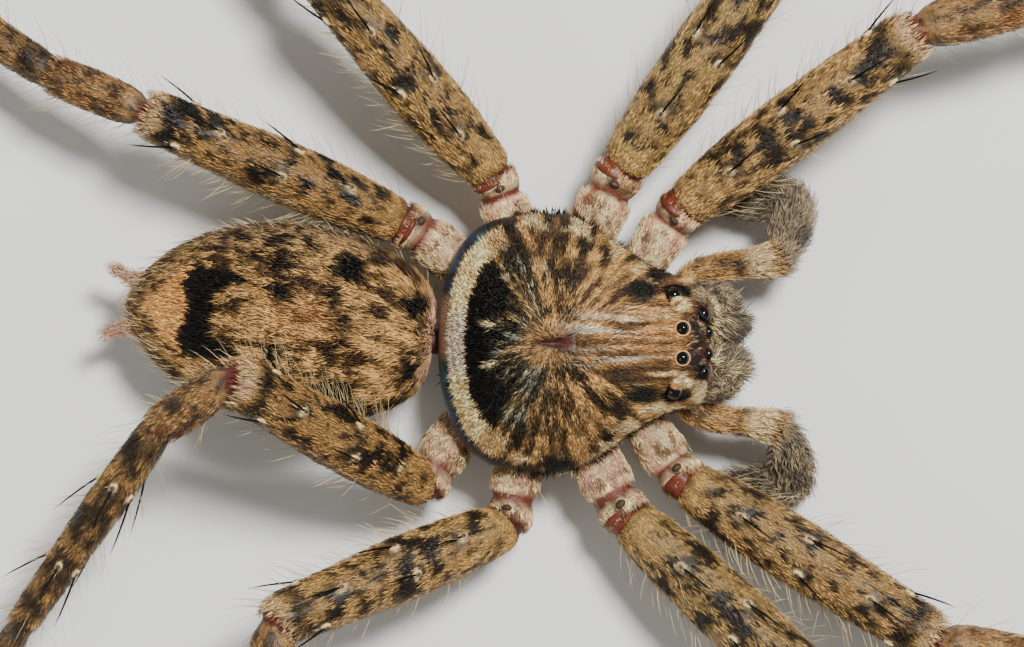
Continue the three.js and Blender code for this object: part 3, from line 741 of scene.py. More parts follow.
def leg_sheet(name):
    """The continuous skin of one leg from coxa to toe."""
    side_name, pair = name.split("_")
    line = leg_line(LEGS[name], pair)
    sheet = tube_sheet(
        eased_line(line[:, :3], 2), line[:, 3] - COAT, 32, SIDES[side_name], floor=0.03
    )
    sheet.rows["segment"] = line[:, 4]
    sheet.rows["share"] = line[:, 5]
    return sheet


def leg_place(leg, name, segment, share, angle):
    """Shares around and along a leg of a place named by segment, share and angle."""
    k = SEGMENTS.index(segment)
    rows = leg.rows
    row = np.argmin(np.abs(rows["segment"] - k) * 10 + np.abs(rows["share"] - share))
    turn = (angle + ROLL.get(name, 0)) / 360
    return np.array([turn % 1, row / (len(rows["share"]) - 1)])


# Jaws, from the face down, as x, distance from the middle, height and radius
JAW = (
    (5.95, 1.42, 5.7, 0.75),
    (6.35, 1.44, 5.1, 1.15),
    (6.75, 1.45, 4.1, 1.3),
    (6.75, 1.45, 3.0, 1.26),
    (6.6, 1.4, 2.0, 1.02),
    (6.5, 1.32, 1.5, 0.62),
    (6.48, 1.3, 1.38, 0.2),
)


def filled_in(stations, count):
    """Points spread evenly through a list of stations."""
    stations = np.array(stations, float)
    at = np.linspace(0, len(stations) - 1, count)
    whole = np.arange(len(stations))
    return np.stack([np.interp(at, whole, values) for values in stations.T], -1)


def line_sheet(stations):
    """A tube through a few stations of x, y, z and radius."""
    line = filled_in(stations, 14 * (len(stations) - 1))
    return tube_sheet(eased_line(line[:, :3], 2), line[:, 3], 24)


def jaw_sheet(s):
    """A stout upright barrel under the face."""
    line = filled_in(JAW, 44)
    line[:, 1] *= s
    radii = np.maximum(line[:, 3] - COAT, 0.05)
    return tube_sheet(eased_line(line[:, :3], 2), radii, 40, sideways=(0, 1.0, 0))


def palp_sheet(s):
    """The feeler, folded outward and back under the first leg."""
    root = np.array([4.6, s * 2.1, 3.5])
    hip = np.array([5.6, s * 3.48, 3.7])
    knee = np.array([9.95, s * 4.0, 3.7])
    wrist = np.array([10.7, s * 6.85, 2.5])
    tip = np.array([6.8, s * 7.0, 1.4])
    thigh, shin, foot = knee - hip, wrist - knee, tip - wrist
    stations = (
        (root, 0.5), (hip, 0.62), (hip + thigh * 0.3, 0.72), (hip + thigh * 0.55, 0.7),
        (hip + thigh * 0.62, 0.74), (hip + thigh * 0.85, 0.9), (hip + thigh * 0.97, 0.88),
        (knee, 0.72), (knee + shin * 0.1, 0.8), (knee + shin * 0.4, 0.96), (wrist, 0.98),
        (wrist + foot * 0.35, 0.96), (wrist + foot * 0.7, 0.82), (wrist + foot * 0.93, 0.52),
        (tip, 0.25),
    )
    points, radii = (np.array(values) for values in zip(*stations))
    reach = np.concatenate([[0], np.cumsum(np.linalg.norm(np.diff(points, axis=0), axis=1))])
    at = np.arange(0, reach[-1], 0.12)
    line = np.stack([np.interp(at, reach, points[:, i]) for i in range(3)], -1)
    return tube_sheet(eased_line(line, 5), np.interp(at, reach, radii) - COAT, 36, s)


# Colours
GOLD = colour(226, 176, 108)
TAN = colour(192, 148, 92)
BROWN = colour(78, 56, 35)
DARK = colour(44, 34, 22)
BLACK = colour(15, 13, 10)
CREAM = colour(240, 212, 158)
PINK = colour(222, 174, 138)
# Pale tint of the painted sheen on the head
SHEEN_WHITE = colour(244, 232, 208)
ORANGE = colour(236, 164, 96)
HEAD = colour(206, 150, 88)
MOSS = colour(62, 64, 48)
TEAL = colour(16, 84, 84)
INDIGO = colour(20, 36, 72)
GREY = colour(156, 138, 110)
SLATE = colour(92, 82, 74)
MAROON = colour(94, 38, 28)
RUST = colour(160, 100, 58)
LILAC = colour(214, 198, 186)
PLUM = colour(66, 38, 32)
# Pale tint of the painted glints on the carapace
PAINTED_GLINT = colour(168, 170, 148)

# Dark rays of the carapace, as (angle from ahead, width in degrees, from, to, strength)
RAYS = (
    (112, 8, 1.0, 5.0, 0.95),
    (88, 6, 1.7, 5.0, 0.75),
    (63, 6, 2.9, 5.3, 0.7),
    (136, 9, 1.6, 4.6, 0.9),
)


# Two cream flecks on the black crescent
FLECKS = ((-3.96, 0.84), (-3.84, -0.92))
# How far out and forward the glassy rear rim lies
RIM_FROM = 0.905
RIM_TO = 1.06
RIM_FRONT = -2.6
# The pit: a wedge that opens towards the head
PIT_TIP = -1.75
PIT_END = -0.15
PIT_OPENING = 0.24


def fovea(p):
    """1 inside the wedge of the middle pit."""
    x, side = p[..., 0], np.abs(p[..., 1])
    inside = smoothstep(PIT_OPENING * (x - PIT_TIP) - side, -0.04, 0.06)
    return inside * between(x, PIT_TIP, PIT_END, 0.08) * (p[..., 2] > CARAPACE["margin_z"])


def rim_tints(p):
    """The dark glassy rear edge of the carapace, with a painted teal and navy gleam at its
    corners.
    """
    y = p[..., 1]
    # Painted reflection: teal and navy gleam where light catches the corners of the glassy rim
    gleam = between(y, 2.2, 5.3, 0.3) + between(y, -4.8, -0.7, 0.3)
    glass = blend(TEAL, INDIGO, patches(p, 0.9, 9, -0.2, 0.2))
    glass = blend(glass, BLACK, patches(p, 0.4, 10, -0.1, 0.3))
    between_corners = between(y, -0.7, 2.2, 0.3)
    return blend(blend(BLACK, glass, gleam), PINK * 0.35, between_corners * 0.8)


class BodyPlace:
    """Where points lie on the carapace, with the noises that its markings share."""

    def __init__(self, body, p, shares):
        self.p = p
        self.x, self.y = p[..., 0], p[..., 1]
        self.side = np.abs(self.y)
        self.flat = np.zeros_like(self.x)
        self.reach = body.row_value("reach", shares)
        self.turn = np.degrees(np.arctan2(self.y, self.x - FOVEA_X))
        self.away = np.hypot(self.x - FOVEA_X, self.y)
        self.streak = self.lined(self.turn / 6, self.away * 0.45, 3)
        self.fine = self.lined(self.turn / 2.4, self.away * 1.1, 4)
        self.mottle = self.lined(self.turn / 4.5, self.reach * 9, 8)
        self.blotch = noise(p, 0.8, 5)
        self.angle = np.abs(self.turn) + 3 * self.streak
        self.behind = smoothstep(self.angle, 112, 128)

    def lined(self, u, v, seed):
        """Noise that is drawn out along lines of equal u or v."""
        return noise(np.stack([u, v, self.flat], -1), 1.0, seed)


def thorax_base(at):
    """Brown and gold streaks that fan out from the middle pit, with painted glints among the
    mossy ones.
    """
    mixed = 0.5 * at.streak + 0.8 * at.fine + 0.4 * at.blotch
    paint = Paint(blend(GOLD * 0.85, BROWN, smoothstep(mixed, -0.4, 0.3)))
    paint(DARK * 0.8, smoothstep(at.blotch + 0.6 * at.fine, 0.2, 0.55) * 0.85)
    for angle, width, low, high, strength in RAYS:
        ray = ridge(at.angle, angle, width) * between(at.away, low, high, 0.5)
        paint(DARK, strength * ray * smoothstep(at.fine, -0.9, 0.0))
    mossy = smoothstep(at.angle, 88, 118) * between(at.away, 0.9, 4.2, 0.4)
    paint(MOSS * 0.5, mossy * smoothstep(at.fine, -0.6, 0.2) * 0.9)
    # Painted glints: pale specks in the mossy streaks stand for light glinting off the hair
    glint = mossy * smoothstep(-at.fine + 0.4 * at.blotch, 0.25, 0.6)
    paint(PAINTED_GLINT, glint * 0.7)
    crescent = smoothstep(at.angle + 8 * at.fine, 114, 138)
    paint(BLACK, crescent * smoothstep(at.away + 0.7 * at.fine, 1.3, 2.7))
    paint(TAN * 1.05, spot(at.x, at.y, (FOVEA_X, 0), (1.2, 0.8), 0.5) * 0.6)
    return paint


def paint_crown(paint, at):
    """The lined top of the head, a painted sheen on it, its grooves and the black spots behind
    the outer eyes.
    """
    neck = 0.5 + 0.55 * (at.x + 0.4)
    head = smoothstep(neck - at.side, -0.3, 0.4) * smoothstep(at.x, -0.6, 0.4)
    lines = at.lined(at.x * 0.55, at.y * 4.6, 6)
    thin_lines = at.lined(at.x * 0.4, at.y * 9.5, 7)
    crown = blend(HEAD, BROWN * 0.8, smoothstep(lines + 0.5 * at.blotch, -0.05, 0.4) * 0.8)
    crown = blend(crown, DARK, smoothstep(thin_lines, 0.15, 0.5) * 0.7)
    crown = blend(crown, CREAM, smoothstep(-lines - thin_lines, 0.3, 0.8) * 0.55)
    paint(crown, head)
    # Painted sheen: pale streaks on the middle of the head stand for light gleaming off its fine
    # hair
    pale = spot(at.x, at.side, (1.3, 0.7), (1.6, 0.5), 0.6)
    paint(SHEEN_WHITE, pale * smoothstep(-thin_lines, -0.1, 0.4) * 0.7)
    groove = ridge(at.side, neck - 0.25, 0.3) * between(at.x, 1.2, 3.9, 0.4)
    paint(MOSS * 0.5, groove * smoothstep(lines, -0.6, 0.2) * 0.8)
    paint(BLACK + MOSS * 0.2, spot(at.x, at.side, (3.0, 2.45), (0.85, 0.42), 0.4))


def paint_pit(paint, at):
    """The dark red pit and the thin line before and behind it."""
    paint(MAROON * 0.6, fovea(at.p))
    edges = ridge(at.side, PIT_OPENING * (at.x - PIT_TIP), 0.09) + ridge(at.y, 0, 0.05)
    edges = np.clip(edges, 0, 1) * between(at.x, PIT_TIP - 0.15, PIT_END + 0.1, 0.1)
    paint(MAROON * 0.3, edges * 0.95)
    paint(DARK, ridge(at.y, 0, 0.09) * between(at.x, -0.1, 5.6, 0.3) * 0.85)
    paint(DARK, ridge(at.y, 0, 0.09) * between(at.x, -3.2, -1.8, 0.3) * 0.8)


def paint_margin(paint, at):
    """The cream band behind, the mottled sides, the glassy rim and two cream flecks."""
    band = at.reach + 0.012 * at.fine
    cream = blend(CREAM, GOLD, 0.3) * 1.45
    cream = blend(cream, GOLD, smoothstep(at.fine, 0.0, 0.7) * 0.6)
    cream = blend(cream, blend(LILAC, CREAM, 0.3) * 1.35, 1 - smoothstep(at.side, 0.8, 2.0))
    paint(cream, between(band, 0.735, RIM_FROM, 0.012) * at.behind)
    sides = between(at.angle, 26, 118, 5) * smoothstep(at.reach, 0.82, 0.88)
    paint(CREAM, sides * smoothstep(at.mottle + 0.4 * at.fine, 0.0, 0.3) * 0.85)
    paint(BLACK, sides * smoothstep(-at.mottle + 0.4 * at.fine, 0.0, 0.3) * 0.9)

    outside = 1 - smoothstep(at.reach, 1.04, RIM_TO)
    paint(rim_tints(at.p), smoothstep(at.reach, 0.9, 0.912) * outside * at.behind)
    thin = smoothstep(at.reach, 0.985, 0.995) * (1 - at.behind)
    thin = thin * (1 - smoothstep(at.x, 4.6, 5.2))
    paint(BLACK, thin * outside * 0.9)

    for x, y in FLECKS:
        way = unit(np.array([x - FOVEA_X, y]))
        ahead = (at.x - x) * way[0] + (at.y - y) * way[1]
        across = (at.y - y) * way[0] - (at.x - x) * way[1]
        paint(CREAM, spot(ahead, across, (0, 0), (0.38, 0.11), 0.4))


def paint_face(paint, at):
    """The dark mask between the eyes with painted glints in it, pale brows, cheeks and lip."""
    x, side = at.x, at.side
    face = smoothstep(x + 0.25 * (side < 1.1), 5.3, 5.55) * (1 - smoothstep(at.reach, 1.02, 1.04))
    mask = blend(PLUM * 1.5, BLACK, patches(at.p, 0.5, 12, -0.1, 0.5) * 0.8)
    # Painted glints: pale specks in the dark mask stand for light glinting off its hair
    mask = blend(mask, CREAM * 0.8, patches(at.p, 0.2, 11, 0.3, 0.6) * 0.6)
    paint(mask, face)
    paint(RUST * 0.6, spot(x, side, (4.45, 2.5), (0.75, 0.42), 0.4) * 0.6)
    paint(CREAM, spot(x - side * 0.3, side, (4.3, 1.85), (0.4, 0.34), 0.3))
    paint(BLACK * 0.3, spot(x + side * 0.25, side, (5.2, 2.45), (0.75, 0.36), 0.15))
    cheek = spot(x, side, (5.95, 2.55), (0.55, 0.6), 0.4)
    paint(blend(CREAM * 0.8, MOSS * 1.6, smoothstep(at.mottle, -0.3, 0.5)), cheek * 0.85)
    lip = smoothstep(x, 6.34, 6.44) * (1 - smoothstep(side, 1.2, 1.5))
    paint(CREAM * 1.1, lip)


def body_tints(body, p, shares):
    """Markings of the carapace and the sternum."""
    at = BodyPlace(body, p, shares)
    paint = thorax_base(at)
    paint_crown(paint, at)
    paint_pit(paint, at)
    paint_margin(paint, at)
    paint_face(paint, at)
    belly = blend(BROWN, TAN, smoothstep(at.blotch, -0.3, 0.5))
    belly = blend(MAROON * 0.7, belly, smoothstep(at.reach, 1.3, 1.45))
    return paint(belly, smoothstep(at.reach, RIM_TO, 1.15))


# Black marks of the abdomen, as (distance back, distance from the middle, radii, strength)
MARKS = (
    (7.0, 1.4, 0.55, 0.48, 1.0),
    (7.2, 2.85, 0.5, 0.85, 0.9),
    (3.9, 2.8, 0.85, 0.6, 1.0),
    (4.35, 1.3, 0.42, 0.62, 0.95),
    (3.75, 0.35, 0.3, 0.6, 0.6),
    (0.75, 1.3, 0.48, 0.65, 1.0),
    (1.5, 3.0, 0.35, 0.28, 0.7),
    (5.6, 3.5, 0.5, 0.3, 0.6),
    (8.8, 3.0, 0.7, 0.28, 0.5),
    (2.4, 3.7, 0.5, 0.3, 0.6),
)


def abdomen_tints(p):
    """Markings of the abdomen, by distance back and to the spider's left, and partly painted
    shade on its lower sides and rear.
    """
    from_front = p - np.array([*ABDOMEN["front"], 0])
    back = from_front @ ABDOMEN_ALONG
    left = from_front @ ABDOMEN_LEFT
    side = np.abs(left)
    streak = noise(np.stack([back * 0.9, left * 4.0, p[..., 2] * 3], -1), 1.0, 12)
    blotch = noise(p, 0.9, 13)
    rough = 0.14 * noise(p, 0.3, 14)
    above = smoothstep(p[..., 2], 3.2, 4.8)

    lightness = smoothstep(streak + 0.5 * blotch, -0.4, 0.3)
    paint = Paint(blend(BROWN * 0.7, GOLD, lightness))
    paint(ORANGE * 0.8, between(back, 4.4, 7.0, 0.6) * ridge(left, 0.3, 0.9) * 0.4)
    paint(BROWN, between(back, 7.6, 10.4, 0.7) * 0.18)
    paint(BROWN, (1 - smoothstep(back, 2.6, 4.4)) * 0.16)
    paint(GREY * 0.62, smoothstep(side, 2.6, 4.2) * 0.5)
    paint(DARK, patches(p, 0.4, 15, 0.2, 0.5) * smoothstep(side, 1, 3))
    for at, off, long, wide, strength in MARKS:
        mark = spot(back + rough * 2, side + rough * 2, (at, off), (long, wide), 0.35)
        paint(BLACK, mark * strength * above)
    notch = 11.4 + 0.4 * ridge(side, 1.15, 0.5)
    inside = 1 - smoothstep(side + rough, 2.15, 2.35)
    front_edge = 10.05 - 1.5 * ridge(side, 1.75, 0.42)
    band = between(back + rough, front_edge, notch, 0.08) * inside
    paint(BLACK, band * above)
    tail = 13.75 - 1.0 * side
    patch = smoothstep(back + rough, notch - 0.05, notch + 0.05) * inside
    patch = patch * (1 - smoothstep(back + rough, tail - 0.12, tail + 0.12))
    paint(ORANGE * 1.3, patch * above)
    # Lower sides and rear end darkened: partly their browner hair, partly painted shade
    lower_sides = 1 - smoothstep(p[..., 2], 5.0, 6.6)
    shaded = np.clip(lower_sides * above + 0.8 * smoothstep(back, 13.3, 14.0), 0, 1)
    paint(BROWN * 0.7, shaded * (1 - patch * above) * 0.48)
    paint(PINK * 0.8, (1 - smoothstep(back + rough, 0.15, 0.5)) * 0.7)
    return paint(TAN * 0.6, (1 - above) * 0.5)


# Ground and blotch colours of each pair of legs
LEG_COLOURS = {
    "1": (colour(190, 150, 90), colour(50, 37, 23)),
    "2": (colour(182, 147, 86), colour(50, 37, 23)),
    "3": (colour(190, 150, 88), colour(46, 34, 21)),
    "4": (colour(174, 132, 74), colour(32, 23, 13)),
}


def leg_spines(leg, name):
    """Where a leg's spines stand: shares around and along, with each length."""
    for segment, share, angle, length in SPINES:
        yield leg_place(leg, name, segment, share, angle), length


class LegPlace:
    """Where points lie on a leg, with the noises that its markings share."""

    def __init__(self, leg, name, p, shares):
        self.segment = leg.row_value("segment", shares)
        self.share = leg.row_value("share", shares)
        self.reach = leg.row_value("reach", shares)
        self.angle = (shares[..., 0] * 360 - ROLL.get(name, 0) + 180) % 360 - 180
        self.top = smoothstep(np.cos(np.radians(self.angle)), -0.3, 0.5)
        self.blotch = noise(p, 0.56, 31)
        self.speck = noise(p, 0.3, 32)
        lined = np.stack([self.reach * 0.9, self.angle / 9, self.reach * 0], -1)
        self.streak = noise(lined, 1.0, 33)
        self.coxa, self.thigh, self.patella, self.shin = (self.segment == k for k in range(4))


def sockets_at(leg, name, at, shares):
    """How far each place lies in a spine's socket, and in the dark patch around it."""
    girth = 2 * np.pi * leg.row_value("radius", shares)
    socket = np.zeros_like(at.blotch)
    patch = np.zeros_like(at.blotch)
    for place_at, _ in leg_spines(leg, name):
        root = leg.row_value("reach", place_at)
        off = ((shares[..., 0] - place_at[0] + 0.5) % 1 - 0.5) * girth
        around = spot(at.reach, off + 0.15 * at.blotch, (root + 0.08, 0), (0.55, 0.5), 0.4)
        patch = np.maximum(patch, around)
        socket = np.maximum(socket, spot(at.reach, off, (root, 0), (0.22, 0.18), 0.3))
    return socket, patch


def paint_femur(paint, at, ground, mark):
    """The dark ring before the knee and the pale ends of the femur."""
    paint(BLACK + mark * 0.3, at.thigh * between(at.share, 0.87, 0.92, 0.012) * at.top * 0.8)
    ring = blend(blend(CREAM, GOLD, 0.5), PINK * 0.6, smoothstep(at.streak, -0.2, 0.5))
    paint(ring, at.thigh * smoothstep(at.share, 0.94, 0.95) * 0.9)
    paint(ground * 0.95, at.thigh * (1 - smoothstep(at.share, 0.05, 0.12)) * 0.6)


def paint_shank(paint, at, mark):
    """The rusty patella, the banded tibia and the greyer foot."""
    rusty = blend(RUST * 0.8, GOLD * 0.7, smoothstep(at.streak, -0.5, 0.3))
    paint(rusty, at.patella * 0.7)
    paint(mark, at.patella * smoothstep(at.speck + 0.6 * at.streak, 0.05, 0.4) * 0.85)
    paint(BROWN, at.shin * smoothstep(at.blotch, -0.6, 0.3) * 0.55)
    paint(mark * 0.6, at.shin * between(at.share, 0.03, 0.12, 0.015) * 0.65)
    paint(mark * 0.7, at.shin * between(at.share, 0.44, 0.56, 0.03) * at.top * 0.35)
    paint(blend(BROWN, SLATE, smoothstep(at.streak, -0.3, 0.5)), (at.segment >= 4) * 0.65)


def paint_coxa(paint, at):
    """The pale fleece of the coxa, and the dark red of the soft joints."""
    fleece = blend(PINK * 0.95, CREAM * 1.05, smoothstep(at.streak + at.blotch, -0.7, 0.4))
    rusty = smoothstep(at.speck + 0.6 * at.blotch, 0.25, 0.5) * 0.85
    paint(blend(fleece, RUST * 0.5, rusty), at.coxa)
    paint(MAROON, at.coxa * between(at.share, 0.73, 0.81, 0.015))
    pit = spot(at.share * 7, at.angle / 40, (6.15, -0.2), (0.3, 0.35))
    paint(DARK, at.coxa * pit * 0.8)


def joint_red(at):
    """How far each place lies in a bare red joint."""
    red = at.coxa * smoothstep(at.share, 0.93, 0.96) + at.thigh * (at.share < 0.008)
    red = red + at.thigh * (at.share > 0.985) + at.patella * (at.share < 0.04)
    return np.clip(red + at.patella * (at.share > 0.985) * 0.5, 0, 1)


def leg_tints(leg, name, p, shares):
    """Markings of a leg."""
    ground, mark = LEG_COLOURS[name[-1]]
    at = LegPlace(leg, name, p, shares)
    socket, patch = sockets_at(leg, name, at, shares)
    paint = Paint(blend(ground, TAN * 0.8, smoothstep(at.streak, -0.2, 0.7) * 0.6))
    paint(mark * 0.75, smoothstep(at.blotch + 0.5 * at.speck, 0.1, 0.36))
    paint(mark * 0.75, smoothstep(at.speck + 0.3 * at.streak, 0.22, 0.42) * 0.9)
    lower = blend(GREY, TAN * 0.7, smoothstep(at.blotch, -0.3, 0.4))
    paint.tint = blend(lower, paint.tint, at.top)
    paint(mark * 0.75, patch * (at.segment < 3.5) * 0.8)
    paint_femur(paint, at, ground, mark)
    paint_shank(paint, at, mark)
    paint_coxa(paint, at)
    red = joint_red(at)
    paint(MAROON, red)
    return paint(CREAM, socket * (1 - red))


def leg_bare(leg, name, shares):
    """How much hair each place of a leg keeps: none over soft joints, plates and sockets."""
    segment = leg.row_value("segment", shares)
    share = leg.row_value("share", shares)
    bare = (segment == 0) * (share > 0.94) + (segment == 1) * (share < 0.006)
    bare = bare + (segment == 1) * (share > 0.985) + (segment == 2) * (share < 0.04)
    keep = 1.0 - np.clip(bare, 0, 1) * 0.93
    keep = keep * np.where((segment == 0) & (share > 0.64) & (share < 0.81), 0.03, 1.0)
    keep = keep * np.where((segment == 0) & (share >= 0.81) & (share < 0.94), 2.5, 1.0)
    keep = keep * np.where((segment == 1) & (share < 0.06) & (share >= 0.006), 4.5, 1.0)
    for place_at, _ in leg_spines(leg, name):
        off = ((shares[..., 0] - place_at[0] + 0.5) % 1 - 0.5) * 360
        ahead = leg.row_value("reach", shares) - leg.row_value("reach", place_at)
        near = (ahead > -0.45) * (ahead < 0.1)
        keep = keep * (1 - near * (np.abs(off) < 14))
    under = np.cos(np.radians(shares[..., 0] * 360)) < -0.4
    return keep * np.where(under, 0.75, 1.0) * np.where(segment >= 4, 0.9, 1.0)


# Materials

def tinted(name, roughness, specular, grain_scale, low=0.75, high=1.25, bump_strength=0.0):
    """A material that takes its colour from each point, with a fine grain over it."""
    material = bpy.data.materials.new(name)
    material.use_nodes = True
    tree = material.node_tree
    shader = tree.nodes["Principled BSDF"]

    def node(kind, values):
        made = tree.nodes.new(f"ShaderNode{kind}")
        for socket, value in values.items():
            made.inputs[socket].default_value = value
        return made

    shader.inputs["Roughness"].default_value = roughness
    shader.inputs["Specular IOR Level"].default_value = specular
    tint = node("VertexColor", {})
    tint.layer_name = "tint"
    where = node("TexCoord", {})
    grain = node("TexNoise", {"Scale": grain_scale, "Detail": 4})
    tree.links.new(where.outputs["Object"], grain.inputs["Vector"])
    ramp = node("MapRange", {"From Min": 0.3, "From Max": 0.7, "To Min": low, "To Max": high})
    tree.links.new(grain.outputs["Fac"], ramp.inputs["Value"])
    vary = node("VectorMath", {})
    vary.operation = "SCALE"
    tree.links.new(tint.outputs["Color"], vary.inputs[0])
    tree.links.new(ramp.outputs["Result"], vary.inputs["Scale"])
    tree.links.new(vary.outputs["Vector"], shader.inputs["Base Color"])
    if bump_strength:
        bump = node("Bump", {"Strength": bump_strength, "Distance": 0.0001})
        tree.links.new(grain.outputs["Fac"], bump.inputs["Height"])
        tree.links.new(bump.outputs["Normal"], shader.inputs["Normal"])
    return material


SKIN = tinted("skin", 0.5, 0.4, 9000, 0.6, 1.25, 0.6)
HAIR = tinted("hair", 0.4, 0.3, 4000, 0.85, 1.15)
BRISTLE = tinted("bristle", 0.3, 0.5, 4000)
HORN = tinted("horn", 0.28, 0.45, 3000, 0.7, 1.3)
SPINE = tinted("spine", 0.55, 0.08, 3000)
PLATE_HORN = tinted("plate", 0.42, 0.25, 3000, 0.6, 1.25)
# The glass's strong colour grain is painted sparkle of light on the rim
GLASS = tinted("glass", 0.34, 0.4, 14000, 0.2, 1.7, 0.8)
LENS = tinted("lens", 0.04, 0.45, 3000)
FLOOR = tinted("floor", 0.8, 0.2, 60, 0.97, 1.03)

rng = np.random.default_rng(7)
# Painted shade: how much darker the skin is drawn where hair covers it; bare places of the
# carapace and legs keep their full colour
HAIR_SHADE_ON_SKIN = 0.45
# Where the head's finer coat starts
HEAD_FROM = 1.5


def combed(way):
    """A comb that turns every hair one way."""
    def comb(found):
        lean = found["normal"] @ np.array(way)
        found["flow"] = unit(np.array(way) - lean[:, None] * found["normal"])
    return comb


def fringed(way):
    """A comb for hairs that stand out level from an edge."""
    def comb(found):
        spread = rng.normal(0, 0.25, found["point"].shape) * [1, 1, 0.4]
        found["flow"] = unit(np.array(way) + spread)
        found["normal"] = unit(np.cross(np.cross(found["flow"], [0, 0, 1.0]), found["flow"]))
    return comb


def build_body():
    """Carapace, sternum and their coat."""
    body = body_sheet()
    tints = body_tints(body, body.points, body.shares)
    reach = body.row_value("reach", body.shares)
    gloss = (reach > RIM_FROM) * (reach < RIM_TO) * (body.points[..., 0] < RIM_FRONT)
    pit = fovea(body.points) > 0.5
    # Painted shade under the hair; full colour where the skin is bare
    shade = np.where(gloss + pit, 1.0, HAIR_SHADE_ON_SKIN)
    skin_object("carapace_skin", body, tints * shade[..., None], SKIN, "carapace",
                "cephalothorax")

    def tint_of(found):
        return body_tints(body, found["point"], found["share"])

    build_rim(body, reach)
    x, y = body.points[..., 0], body.points[..., 1]
    keep = np.where(reach < RIM_TO, 1.0, 0.12) * np.where(gloss, 0.02, 1.0)
    for kind in EYES:
        centre, radius = eye_place(kind, "left")
        keep = keep * (np.hypot(x - centre[0], np.abs(y) - centre[1]) > radius * 1.12)
    keep = keep * (1 - pit) * np.where((reach > 0.965) & (x < 5.2), 0.3, 1.0)
    coat("thorax_coat", body, "thorax", tint_of, keep * (x < HEAD_FROM))
    coat("head_coat", body, "head", tint_of, keep * (x >= HEAD_FROM))

    def face_tint(found):
        off = np.abs(found["point"][..., 1])
        slate = blend(SLATE * 0.7, MOSS * 1.3, patches(found["point"], 0.3, 46, -0.3, 0.3))
        paint = Paint(blend(CREAM * 1.1, slate, smoothstep(off, 1.15, 1.4)))
        return paint(GREY, patches(found["point"], 0.2, 47, 0.2, 0.5) * 0.7)

    edge = (x > 5.7) * (np.abs(y) < 2.7) * (reach > 0.985) * (reach < 1.1)
    coat("face_fringe", body, "face", face_tint, edge, fringed((1, 0, 0.1)))


def build_rim(body, reach):
    """A glossy strip along the rear edge of the carapace."""
    rows = np.flatnonzero((reach[:, 0] > 0.9) & (reach[:, 0] <= 1.0))
    count = body.points.shape[1]
    columns = np.arange(int(count * 0.29), int(count * 0.71))
    u = np.linspace(-1, 1, len(rows))
    points = body.points[rows][:, columns]
    normals = body.normals[rows][:, columns]
    ends = np.sin(np.linspace(0.05, np.pi - 0.05, len(columns))) ** 0.3
    rise = 0.03 + 0.1 * np.sqrt(np.clip(1 - u**2, 0, 1))[:, None] * ends[None]
    upper = points + normals * rise[..., None]
    lower = points - normals * 0.04
    loop = np.concatenate([upper, lower[::-1]]).transpose(1, 0, 2)
    strip = Sheet(loop, [0, 1.0, 0])
    skin_object("carapace_rim", strip, rim_tints(loop), GLASS, "carapace")


def build_abdomen():
    """Abdomen with its coat and its long pale bristles."""
    abdomen = abdomen_sheet()
    tints = abdomen_tints(abdomen.points)
    # Skin drawn darker as painted shade under the hair
    skin_object("abdomen_skin", abdomen, tints * HAIR_SHADE_ON_SKIN, SKIN, "abdomen", "abdomen")

    def tint_of(found):
        return abdomen_tints(found["point"])

    above = np.where(abdomen.points[..., 2] > 4.2, 1.0, 0.5)
    coat("abdomen_coat", abdomen, "abdomen", tint_of, above)
    back = (abdomen.points - np.array([*ABDOMEN["front"], 0])) @ ABDOMEN_ALONG
    left = np.abs(abdomen.points @ ABDOMEN_LEFT)
    low = 1 - smoothstep(abdomen.points[..., 2], 4.6, 6.4)
    weight = (smoothstep(back, 8, 13) * 2 + smoothstep(left, 2.0, 4.0)) * low + 0.03
    bristle_coat("abdomen_bristles", abdomen, "abdomen", weight)


# Bristles, as their number, shortest and longest, and the angle by which they stand up
BRISTLES = {
    "abdomen": (700, 0.8, 1.6, 38),
    "leg": (400, 1.0, 2.5, 52),
    "jaw": (90, 0.7, 1.2, 50),
    "palp": (160, 0.6, 1.3, 45),
}


def bristle_coat(name, sheet, kind, weight, tint=CREAM):
    """Long pale bristles over a sheet."""
    count, shortest, longest, lift = BRISTLES[kind]
    found = sheet.sample(count, weight)
    way = turned_flow(found, 16)
    length = rng.uniform(shortest, longest, count)
    lifts = np.clip(rng.normal(lift, 9, count), 10, 80)
    tints = tint * rng.uniform(0.35, 1.0, (count, 1))
    spikes(name, found, way, length, 0.015, lifts, 24, tints, BRISTLE, "bristle")


